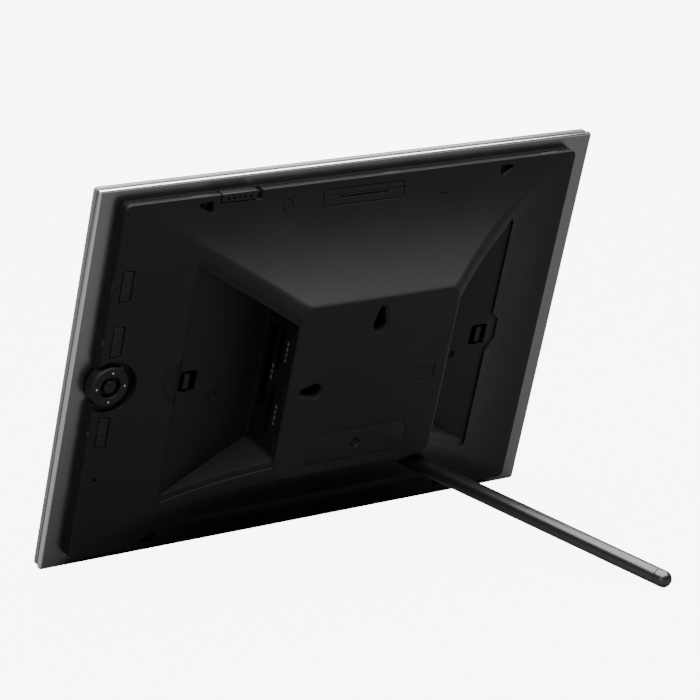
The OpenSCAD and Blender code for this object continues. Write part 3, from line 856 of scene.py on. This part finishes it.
@dataclass
class RearCover(Assembly):
    """The flared rear cover and the fixed pieces in it."""

    rim_x: float = 130.45
    rim_z: Point2 = (4.7, 188.5)
    rim_depth: float = 5.0
    face_x: float = 45.4
    face_z: Point2 = (51.7, 141.9)
    face_depth: float = 38.0
    flare: float = 1.8
    wall: float = 2.8
    side_wall: float = 2.2
    foot: float = -0.8
    rim_corner: float = 3.0
    face_corner: float = 5.0
    pocket_floor: float = 12.0
    pocket_x: Point2 = (48.5, 90.0)
    pocket_low: Point2 = (59.0, 36.0)
    pocket_high: Point2 = (135.0, 158.0)
    ledge: float = 3.6
    channel_x: Point2 = (-87.0, 75.0)
    channel_r: float = 4.5
    channel_z: float = 16.7
    channel_depth: float = 8.8
    screw_x: float = 87.4
    screw_z: Point2 = (9.4, 183.5)

    def flare_depth(self, s: float) -> float:
        """Returns the slope's depth at a share s of the way from the rim to the face."""
        return self.rim_depth + (self.face_depth - self.rim_depth) * s ** self.flare

    def slope_outline(self, s: float, inset: float, corner: float) -> list[Point2]:
        """Returns the cover's outline at a share s of the slope."""
        x = self.rim_x + (self.face_x - self.rim_x) * s - inset
        z0 = self.rim_z[0] + (self.face_z[0] - self.rim_z[0]) * s + inset
        z1 = self.rim_z[1] + (self.face_z[1] - self.rim_z[1]) * s - inset
        return round_rect(-x, x, z0, z1, corner, 10)

    def form(self, name: str, inset: float = 0.0, drop: float = 0.0, foot: float | None = None,
             groove: bool = False) -> Piece:
        """Builds the cover's flared solid, or a smaller copy of it.

        Args:
            name: name of the object.
            inset: how far the sides move inwards.
            drop: how far the slopes and the face move down.
            foot: depth of the open side.
            groove: whether the rim wall has its thin line and round edge.

        Returns:
            The solid.
        """
        foot = self.foot if foot is None else foot
        edge = 0.4 if groove else 0.0
        rings = [ring(self.slope_outline(0, inset, self.rim_corner), foot)]
        if groove:
            for d, step in ((1.3, 0.0), (1.36, 0.5), (2.24, 0.5), (2.3, 0.0), (self.rim_depth - edge, 0.0)):
                rings.append(ring(self.slope_outline(0, inset + step, self.rim_corner - step), d))
            for i in range(1, 6):
                a = math.radians(90 * i / 5)
                step = edge * (1 - math.cos(a))
                rings.append(ring(self.slope_outline(0, inset + step, self.rim_corner - step),
                                  self.rim_depth - edge + edge * math.sin(a)))
        steps = 40
        for i in range(2 if groove else 0, steps):
            s = i / steps
            corner = self.rim_corner + (self.face_corner - self.rim_corner) * s
            rings.append(ring(self.slope_outline(s, inset, corner), self.flare_depth(s) - drop))
        if groove:
            for step, fall in ((-0.25, 0.35), (0.1, 0.12), (0.5, 0.02), (1.0, 0.0), (1.6, 0.0)):
                rings.append(ring(self.slope_outline(1, inset + step, self.face_corner - step),
                                  self.face_depth - drop - fall))
        else:
            rings.append(ring(self.slope_outline(1, inset, self.face_corner), self.face_depth - drop))
        return loft(name, rings)

    def pocket(self, shrink: float, r: float) -> list[Point2]:
        """Returns a side pocket's outline on the +x side."""
        near, far = self.pocket_x
        corners = [(far, self.pocket_low[1] + shrink), (far, self.pocket_high[1] - shrink),
                   (near, self.pocket_high[0] - shrink), (near, self.pocket_low[0] + shrink)]
        return grown(corners, r)

    def both(self, name: str, outline: Sequence[Point2], d0: float, d1: float) -> list[Piece]:
        """Returns a prism and its mirror image on the other side."""
        return [prism(name, outline, d0, d1), prism(name, mirrored(outline), d0, d1)]

    def screw_places(self) -> list[tuple[float, float, int, int]]:
        """Returns x and z of each corner screw, and the signs of its side and its height."""
        low, high = self.screw_z
        return [(kx * self.screw_x, z, kx, kz) for kx in (-1, 1) for kz, z in ((-1, low), (1, high))]

    def channel(self, r: float) -> Piece:
        """Builds the round bar that cuts the leg's channel.

        Args:
            r: radius of the bar.

        Returns:
            The bar, with round ends.
        """
        x0, x1 = self.channel_x[0] + self.channel_r, self.channel_x[1] - self.channel_r
        profile = arc(0, 0, r, -90, 0, 10) + arc(0, x1 - x0, r, 0, 90, 10)
        profile[0] = (0.0, -r)
        profile[-1] = (0.0, x1 - x0 + r)
        start = Vector((x0, self.channel_depth, self.channel_z))
        return lathe("channel", profile, start, Vector((1, 0, 0)), 48)

    def hollow(self, leg: "Leg") -> Piece:
        """Builds the cover's inside, kept away from every pocket, cup and boss.

        Args:
            leg: the leg, whose boss stands in the hollow.

        Returns:
            The solid that is cut out of the cover.
        """
        inside = self.form("inside", self.side_wall, self.wall, self.foot - 1)
        solids = self.both("pocket_wall", self.pocket(self.ledge, 2 + self.side_wall),
                           self.pocket_floor - 2.2, self.face_depth + 1)
        solids.append(prism("pad_cup", circle(KEY_X, PAD_Z, 14.7), 2, 12))
        solids.append(self.channel(self.channel_r + 1.7))
        solids += [prism("screw_boss", circle(x, z, 5.2), -2, 9) for x, z, _, _ in self.screw_places()]
        solids.append(leg.bar("leg_boss", 6.6, -17, 9))
        solids.append(block("door_bar", (-50, 32.8, 45), (50, 40, 76.5)))
        return cut(inside, solids)

    def shell(self, leg: "Leg") -> None:
        """Builds the cover's shell with all its openings.

        Args:
            leg: the leg, whose axis gives the way in for it.
        """
        skin = smooth(self.form("skin", groove=True), 60)
        shell = self.form("rear_shell", groove=True)
        cut(shell, [self.hollow(leg)])
        tools = self.both("pocket", self.pocket(self.ledge, 2), self.pocket_floor, self.face_depth + 1)
        step = self.form("step", 0, 1.0)
        for ledge in self.both("ledge", self.pocket(0, 2), self.pocket_floor, self.face_depth + 1):
            tools.append(cut(ledge, [step], keep=True))
        discard(step)
        notch = [(91, 85.5), (98, 92), (98, 103.5), (91, 109)]
        for side in (1, -1):
            section = ((88, 11.9), (98, 10.1), (98, 30), (88, 30))
            ramp = loft("ramp", [[Vector((side * x, d, z)) for x, d in section] for z in (80, 115)])
            outline = notch if side > 0 else mirrored(notch)
            tools.append(cut(ramp, [prism("notch", outline, 5, 36)], mode="INTERSECT"))
        tools += self.both("latch_window", round_rect(81, 90.4, 91.3, 102.4, 0.8), 5, 20)
        tools += self.both("dimple", circle(70.6, 87.7, 2.5), self.pocket_floor - 0.8, 20)
        tools += self.key_tools() + self.face_tools() + self.corner_tools()
        tools.append(block("card_window", (44, 14, 63), (48, 36, 132)))
        tools.append(block("port_window", (-48, 14, 65), (-44, 29, 128)))
        tools.append(leg.bar("leg_hole", 4.35, -6.3, 60))
        tools.append(leg.bar("insert_hole", 4.5, -18, -4))
        tools.append(self.channel(self.channel_r))
        tools.append(lathe("finger_dip", arc(0, 0, 6, -90, 90, 20), Vector((-82, 9.6, 14.6)), BACK, 40))
        tools.append(prism("pin_hole", circle(-49.1, 26.3, 1.0, 20), 9, 20))
        cut(shell, tools)
        smooth(shell, 28)
        inherit_normals(shell, skin, 0.05, self.rim_depth - 0.9)
        discard(skin)
        self.add(shell, "frame", "black_cover", "cover_plastic", ["rear_cover"])

    def key_tools(self) -> list[Piece]:
        """Returns the cutters for the keys, the pad, the slider and the small holes."""
        left, right = IMPORT_X
        tools = [prism("key_hole", round_rect(KEY_X - 3.05, KEY_X + 3.05, z - 7.9, z + 7.9, 0.9), -2, 12)
                 for z in KEY_HEIGHTS]
        tools += [prism("pad_recess", circle(KEY_X, PAD_Z, 13.2, 72), 3, 12),
                  prism("pad_hole", circle(KEY_X, PAD_Z, 10.6, 72), -0.3, 12),
                  prism("reset_hole", circle(KEY_X, RESET_Z, 0.85, 20), -2, 12),
                  prism("import_hole", round_rect(left - 0.4, right + 0.4, 176.7, 184.5, 0.9), -2, 12),
                  prism("plug_hole", circle(*PLUG, 3.0), 0, 12)]
        tools += [prism("sound_hole", circle(-46.6 - 2.05 * i, 176.1, 0.5, 16), 0, 12) for i in range(3)]
        x0, x1 = SLIDER_X[0] - 3, SLIDER_X[1] + 0.4
        tools += [block("slider_bed", (x0, 3.2, 184.0), (x1, 12, 200)),
                  block("slider_lip", (x0, 0.8, 187.1), (x1, 12, 200)),
                  block("slider_slit", (65.5, -1, 184.5), (74, 12, 185.9))]
        return tools

    def face_tools(self) -> list[Piece]:
        """Returns the cutters for the keyholes, the label recess and the service door."""
        depth = self.face_depth
        tools = []
        # each keyhole: its centre, whether it is sideways, and the radii of its hole and of its dished edge
        for x, z, sideways, hole, low, high in ((0, 128.2, False, (3.75, 1.6), (4.7, 2.5), (5.2, 3.0)),
                                                (30.9, 97.4, True, (3.4, 1.5), (4.3, 2.4), (4.8, 2.9))):
            outlines = [keyhole(x, z, *radii, 7.4, sideways) for radii in (hole, low, high)]
            tools += [prism("keyhole", outlines[0], 30, depth + 1), self.dished(*outlines[1:])]
        tools += [prism("label_recess", round_rect(-39.5, -27.2, 93.1, 101.1, 0.4), depth - 0.4, depth + 1),
                  prism("door_recess", self.door(0.2), depth - 1.9, depth + 1)]
        tools += [prism("door_hole", round_rect(x0, x1, 59.5, 69.6, 1), 20, depth + 1)
                  for x0, x1 in ((-25.5, -3.4), (4.6, 26.5))]
        tools.append(prism("door_screw_hole", circle(*DOOR_SCREW, 1.05, 24), 20, depth))
        return tools

    def dished(self, low: Sequence[Point2], high: Sequence[Point2]) -> Piece:
        """Returns a shallow cutter with a sloping side in the flat face."""
        depth = self.face_depth
        return loft("dish", [ring(low, depth - 0.5), ring(high, depth), ring(high, depth + 1)])

    def corner_tools(self) -> list[Piece]:
        """Returns the cutters for the three-cornered screw recesses."""
        tools = []
        for x, z, kx, kz in self.screw_places():
            reaches = ((2.9, 1.0), (-2.6, 1.4), (-2.9, -2.2))
            corners = [(x + across * kx, z + up * kz) for across, up in reaches]
            if kx * kz < 0:
                corners.reverse()
            tools.append(prism("screw_recess", grown(corners, 1), 2.6, 12))
            tools.append(prism("screw_hole", circle(x, z, 1.3, 20), -2, 6))
        return tools

    @staticmethod
    def door(grow: float) -> list[Point2]:
        """Returns the service door's outline, with its cut corners."""
        return grown([(-26.6, 57.4), (26.5, 57.4), (28, 58.9), (28, 68.4), (24.7, 71.7), (-24.8, 71.7),
                      (-28.1, 68.4), (-28.1, 58.9)], 0.9 + grow, 3)

    def service_door(self) -> None:
        """Builds the service door with its sunk screw seat."""
        depth = self.face_depth
        door = prism("service_door", self.door(0), depth - 1.9, depth)
        soften(door, 0.25, 2, 50)
        seat = [(0.0, depth - 1.2), (2.0, depth - 1.2), (2.3, depth - 0.4), (2.6, depth + 0.1),
                (2.6, depth + 1), (0.0, depth + 1)]
        cut(door, [lathe("screw_seat", seat, Vector((DOOR_SCREW[0], 0, DOOR_SCREW[1])), BACK, 40),
                   prism("screw_way", circle(*DOOR_SCREW, 1.1, 24), depth - 4, depth)])
        self.add(smooth(door), "frame", "black_cover", "cover_plastic", ["access_door"])

    def plug_and_trim(self) -> None:
        """Builds the round plug and the strip above the import key, both flush with the slope."""
        plug = prism("flush_plug", circle(*PLUG, 2.75, 48), 3, 12)
        strip = prism("import_strip", round_rect(*IMPORT_X, 181.65, 184.1, 0.6), 2, 12)
        for piece, node, drop in ((plug, "round_plug", 0.15), (strip, "import_trim", 0.1)):
            skin = self.form("trim_skin", 0, drop, self.foot - 2)
            cut(piece, [skin], mode="INTERSECT")
            self.add(smooth(piece), "frame", "black_keys", "key_plastic", [node])

    def marks(self) -> None:
        """Prints the plain marks beside the keys on the upright rim wall, and at the card slots."""
        x = self.rim_x + 0.06
        strokes = [block("mark", (x - 0.1, 3.2, z), (x, 3.8, z + 0.7))
                   for z in (144.8 + 1.5 * k for k in range(4))]
        outer, inner = circle(119.2, 3.4, 0.9, 24), circle(119.2, 3.4, 0.6, 24)
        rings = [[Vector((px, d, z)) for z, d in outline] for outline, px in
                 ((outer, x - 0.1), (outer, x), (inner, x), (inner, x - 0.1))]
        strokes.append(loft("mark", rings, closed=True))
        arrow = [(73.6, 3.4), (72.2, 2.8), (72.2, 4.0)]
        strokes.append(loft("mark", [[Vector((px, d, z)) for z, d in arrow] for px in (x - 0.1, x)]))
        strokes.append(block("mark", (x - 0.1, 3.25, 70.4), (x, 3.55, 72.3)))
        top = self.rim_z[1] + 0.06
        for first, count in ((-118.5, 5), (-22.0, 5), (64.0, 3), (86.0, 5)):
            for k in range(count):
                start = first + 2.0 * k
                strokes.append(block("mark", (start, 3.1, top - 0.1), (start + 1.2, 3.8, top)))
        self.add(join("key_marks", strokes), "frame", "dim_mark", "key_plastic")


@dataclass
class Keys(Assembly):
    """The side keys, the five-way pad, the import key and the power slider."""

    key_width: float = 5.3
    key_length: float = 15.0
    pad_r: float = 10.2
    pad_depth: Point2 = (2.4, 6.0)
    dot_r: float = 7.5

    def build(self, cover: RearCover) -> None:
        """Builds every key.

        Args:
            cover: the rear cover, whose slope the long key follows.
        """
        self.side_keys()
        self.pad()
        self.centre_key()
        self.import_key(cover)
        self.slider()
        self.dress("black_keys", "pad_pivot")

    def side_keys(self) -> None:
        """Builds the three side keys, each with its touch bump."""
        half_w, half = self.key_width / 2, self.key_length / 2
        for place, z in zip(("upper", "middle", "lower"), KEY_HEIGHTS):
            cap = prism("cap", round_rect(KEY_X - half_w, KEY_X + half_w, z - half, z + half, 0.7), 2.0, 5.42)
            soften(cap, 0.3, 3, 50)
            outline = round_rect(KEY_X - 3.2, KEY_X + 3.2, z - half - 0.6, z + half + 0.6, 0.6)
            dome = [(0.55 * c, 0.45 * h) for c, h in arc(0, 0, 1, 0, 75, 5)]
            bump = lathe("bump", [(0.0, -0.2), (0.55, -0.2)] + dome + [(0.0, 0.45)],
                         Vector((KEY_X + 1.9, 5.4, z)), BACK, 20)
            name = "side_button_" + place
            piece = join(name + "_cap", [smooth(cap), prism("flange", outline, 1.5, 2.1), smooth(bump, 60)])
            self.add(piece, place + "_key", "black_keys", "key_plastic", [name])

    def pad(self) -> None:
        """Builds the five-way ring with its skirt past the rim, and its four printed dots."""
        low, high = self.pad_depth
        r = self.pad_r
        edge = 1.1
        bore = 5.5
        shoulder = arc(r - edge, high - edge, edge, 0, 90, 6)
        lip = arc(bore + 0.5, high - 0.5, 0.5, 90, 180, 5)
        centre = Vector((KEY_X, 0, PAD_Z))
        ring_piece = lathe("ring", [(bore, low), (r, low)] + shoulder + lip, centre, BACK, 96)
        smooth(ring_piece, 40)
        section = [(r - edge, 0.2), (r, 0.2), (r, low + 0.01), (r - edge, low + 0.01)]
        skirt = lathe("skirt", section, centre, BACK, 96)
        cut(skirt, [block("past_rim", (129, -1, 80), (140, 4, 112))], mode="INTERSECT")
        piece = join("pad_ring_body", [ring_piece, smooth(skirt, 40)])
        self.add(piece, "pad", "black_keys", "key_plastic", ["pad_ring"])
        dots = []
        for k in range(4):
            a = math.tau * k / 4
            across, up = self.dot_r * math.cos(a), self.dot_r * math.sin(a)
            at = Vector((KEY_X + across, high - 0.05, PAD_Z + up))
            dots.append(lathe("dot", rounded(0.5, 0, 0.13, 0.05), at, BACK, 24))
        self.add(smooth(join("pad_dots", dots), 60), "pad", "white_mark", "key_plastic")

    def centre_key(self) -> None:
        """Builds the pad's round centre button, slightly dished."""
        dish = [(2.8 - 0.28 * i, 5.6 - 0.25 * math.sin(math.pi / 2 * i / 10)) for i in range(11)]
        profile = [(0.0, 2.0), (1.6, 2.0), (1.6, 3.6), (3.3, 3.6), (3.3, 5.2), (3.2, 5.45), (3.0, 5.57)]
        profile += dish
        profile[-1] = (0.0, 5.35)
        piece = lathe("pad_centre", profile, Vector((KEY_X, 0, PAD_Z)), BACK, 64)
        self.add(smooth(piece, 40), "centre_key", "black_keys", "key_plastic", ["pad_centre_button"])

    def import_key(self, cover: RearCover) -> None:
        """Builds the long key under the top edge.

        Args:
            cover: the rear cover, whose slope the key follows.
        """
        bar = prism("long_key", round_rect(*IMPORT_X, 177.1, 181.3, 0.6), 3.2, 12)
        cut(bar, [cover.form("key_skin", 0, 0.02, -3)], mode="INTERSECT")
        groove = prism("groove", round_rect(-15.5, 12.5, 179.95, 181.0, 0.4), 3, 12)
        cut(groove, [cover.form("groove_floor", 0, 1.0, -3)])
        cut(bar, [cover.form("key_under", 0, 2.4, -3), groove])
        smooth(bar)
        post = prism("post", circle(-1.45, 179.2, 1.6, 24), 1.7, 5.0)
        piece = join("import_key_bar", [bar, post])
        self.add(piece, "import_key", "black_keys", "key_plastic", ["import_button"])

    def slider(self) -> None:
        """Builds the power slider that wraps over the top edge, with its five grip points."""
        back = soften(block("back", (SLIDER_X[0], 3.35, 184.4), (SLIDER_X[1], 5.55, 188.85)), 0.3, 3)
        middle = sum(SLIDER_X) / 2
        cut(back, [prism("grip", circle(middle + 3.0 * k, 186.4, 0.7, 18), 4.7, 6.0) for k in range(-2, 3)])
        lip = soften(block("lip", (SLIDER_X[0], 1.0, 187.25), (SLIDER_X[1], 3.6, 188.85)), 0.2, 2)
        pieces = [smooth(back), smooth(lip), block("stem", (69, 1.7, 184.7), (71, 3.4, 185.7))]
        self.add(join("power_slider_cap", pieces), "slider", "black_keys", "key_plastic", ["power_slider"])


@dataclass
class CardBay(Assembly):
    """The side inserts, the sockets behind them and the lamp windows."""

    def build(self) -> None:
        """Dresses the sockets and inserts, and adds the small marks beside the slots."""
        self.dress("black_socket", "card_slot_insert", "port_insert", "cf_socket", "dc_inlet")
        self.dress("dark_tin_and_painted_shade", "sd_socket_upper", "sd_socket_lower")
        self.dress("tinned_metal", "usb_socket", "mini_usb_socket")
        self.dress("lamp_pipe", "access_lamps")
        low, high = self.space.box("card_slot_insert")
        x = high.x + 0.04
        marks = []
        for z in (116.0, 82.8):
            for k in range(4):
                marks.append(block("mark", (x - 0.08, 30.2, z - 5 + 2.9 * k), (x, 31.4, z - 3.2 + 2.9 * k)))
        for k in range(3):
            marks.append(block("mark", (x - 0.08, 22.2, 98 + 3.1 * k), (x, 23.4, 100 + 3.1 * k)))
        self.add(join("slot_marks", marks), "frame", "grey_mark", "chip_plastic")


@dataclass
class Electronics(Assembly):
    """The boards and what sits on them, inside the cover."""

    def build(self) -> None:
        """Dresses the boards and their pieces."""
        self.dress("board_green", "main_board", "card_board", "button_board", "top_board")
        self.dress("turned_brass", "board_posts", "card_board_spacers")
        self.dress("tinned_metal", "coin_cell", "button_domes", "power_switch")
        self.dress("plated_sheet", "shield_can")
        # The plates behind the keyholes are made dark: painted shade inside the keyholes.
        self.dress("dark_tin_and_painted_shade", "keyhole_plates")
        self.dress("black_socket", "board_chips", "speaker")
        self.dress("ribbon_film", "ribbon_cable")
        self.dress("dark_screw", "board_screws", "door_screw", "cover_screws")
        self.dress("black_keys", "cover_latches")


@dataclass
class Leg(Assembly):
    """The screw-in leg: rod, stud, foot, and the socket that it screws into."""

    root: tuple[float, float, float] = (-44.0, 29.0, 42.6)
    side: float = -71.4
    reach: float = 184.7
    radius: float = 4.05

    def axis(self) -> tuple[Vector, Vector, float]:
        """Returns the leg's root, its direction and the distance to its tip's centre."""
        start = Vector(self.root)
        height = self.tip_height()
        run = Vector((self.side, self.reach, height)) - start
        return start, run.normalized(), run.length

    def tip_height(self) -> float:
        """Returns the upright height of the tip's centre, so that the foot stands on the floor."""
        back = self.space.place.inverted()
        floor = back @ Vector((0, 0, self.radius * MM))
        rise = math.tan(self.space.lean)
        return floor.z + (self.reach - floor.y) * rise

    def bar(self, name: str, r: float, start: float, end: float) -> Piece:
        """Returns a round bar on the leg's axis.

        Args:
            name: name of the object.
            r: radius.
            start: where it starts along the axis, from the root.
            end: where it ends.

        Returns:
            The bar.
        """
        root, axis, _ = self.axis()
        return lathe(name, [(0.0, start), (r, start), (r, end), (0.0, end)], root, axis, 56)

    def build(self) -> None:
        """Builds the rod and the foot, and dresses the stud and the socket."""
        root, axis, length = self.axis()
        r = self.radius
        rod = [(2.0, -6.0), (r - 0.3, -6.0), (r, -5.7), (r, length - 3.25), (r - 0.25, length - 3.0),
               (2.0, length - 3.0)]
        tube = smooth(lathe("leg_tube", rod, root, axis, 72), 40)
        self.add(tube, "leg", "leg_metal", "leg_metal", ["leg_rod"])
        dome = arc(0, length, r, 0, 84, 14)
        foot = [(0.0, length - 10), (1.95, length - 10), (1.95, length - 3.0), (r - 0.25, length - 3.0),
                (r, length - 2.75)] + dome + [(0.0, length + r)]
        cap = smooth(lathe("leg_foot_cap", foot, root, axis, 72), 40)
        self.add(cap, "leg", "leg_metal", "foot_rubber", ["leg_foot"])
        self.dress("dark_screw", "leg_stud")
        # The socket is made dark: painted shade in the gap round the leg.
        self.dress("dark_tin_and_painted_shade", "leg_socket")
        self.dress("magnet_plate", "leg_magnets")


# --- Studio


@dataclass
class Studio:
    """The floor, the lights and the camera."""

    finishes: Finishes
    azimuth: float = 143.195
    elevation: float = 12.4865
    distance: float = 1.5165
    target: tuple[float, float, float] = (0.0342, 0.0003, 0.1079)
    lens: float = 171.3
    sky_strength: float = 0.15
    floor_glow: float = 8.0
    half_floor: float = 4.0

    def build(self) -> None:
        """Builds the studio."""
        self.floor()
        self.sky()
        self.light("top_panel", (0.0, 0.1, 1.6), (0.0, 0.1, 0.0), (3.0, 2.4), 125.0)
        self.light("key_side_panel", (1.6, 0.6, 0.3), (0.1, 0.0, 0.08), (0.7, 0.5), 2.5)
        self.camera()

    def floor(self) -> None:
        """Builds the plain, flat, pale floor."""
        half = self.half_floor
        mesh = bpy.data.meshes.new("floor")
        corners = [(-half, -half, 0), (half, -half, 0), (half, half, 0), (-half, half, 0)]
        mesh.from_pydata(corners, [], [(0, 1, 2, 3)])
        floor = placed("floor", mesh)
        mesh.materials.append(self.finishes.get("pale_floor"))
        self.lift(mesh.materials[0])

    @staticmethod
    def lift(material: bpy.types.Material) -> None:
        """Makes the floor look evenly pale from the camera, without lighting the object from below.

        Args:
            material: the floor's material.
        """
        tree = material.node_tree
        shader = tree.nodes["Principled BSDF"]
        shader.inputs["Emission Color"].default_value = (1, 1, 1, 1)
        rays = tree.nodes.new("ShaderNodeLightPath")
        strength = add_node(tree, "ShaderNodeMath", operation="MULTIPLY")
        strength.inputs[1].default_value = Studio.floor_glow
        tree.links.new(rays.outputs["Is Camera Ray"], strength.inputs[0])
        tree.links.new(strength.outputs[0], shader.inputs["Emission Strength"])

    def sky(self) -> None:
        """Lights the scene evenly from all round."""
        world = bpy.data.worlds.new("studio")
        world.use_nodes = True
        background = world.node_tree.nodes["Background"]
        background.inputs["Color"].default_value = (1, 1, 1, 1)
        background.inputs["Strength"].default_value = self.sky_strength
        bpy.context.scene.world = world

    def light(self, name: str, at: Sequence[float], to: Sequence[float], size: Point2, power: float) -> None:
        """Adds a soft rectangular light.

        Args:
            name: name of the light.
            at: where it hangs.
            to: what it points at.
            size: its width and height.
            power: its power, in watts.
        """
        lamp = bpy.data.lights.new(name, "AREA")
        lamp.shape = "RECTANGLE"
        lamp.size, lamp.size_y = size
        lamp.energy = power
        holder = placed(name, lamp)
        holder.location = at
        holder.rotation_euler = (Vector(to) - Vector(at)).to_track_quat("-Z", "Y").to_euler()

    def camera(self) -> None:
        """Sets the camera up."""
        data = bpy.data.cameras.new("camera")
        data.lens = self.lens
        data.sensor_width = 36.0
        data.clip_end = 20.0
        camera = placed("camera", data)
        turn, rise = math.radians(self.azimuth), math.radians(self.elevation)
        away = Vector((math.sin(turn) * math.cos(rise), -math.cos(turn) * math.cos(rise), math.sin(rise)))
        target = Vector(self.target)
        camera.location = target + away * self.distance
        camera.rotation_euler = (-away).to_track_quat("-Z", "Y").to_euler()
        bpy.context.scene.camera = camera


def main() -> None:
    """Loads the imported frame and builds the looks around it."""
    logging.basicConfig(level=logging.INFO, format="%(name)s: %(message)s")
    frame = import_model()
    space = Upright.from_record(frame["record"], 38.0, 110.0)
    finishes = Finishes()
    Studio(finishes).build()
    parts = (space, frame["nodes"], finishes)
    leg = Leg(*parts)
    cover = RearCover(*parts)
    DisplayFront(*parts).build()
    cover.shell(leg)
    cover.service_door()
    cover.plug_and_trim()
    cover.marks()
    Keys(*parts).build(cover)
    CardBay(*parts).build()
    Electronics(*parts).build()
    leg.build()


if __name__ == "__main__":
    main()
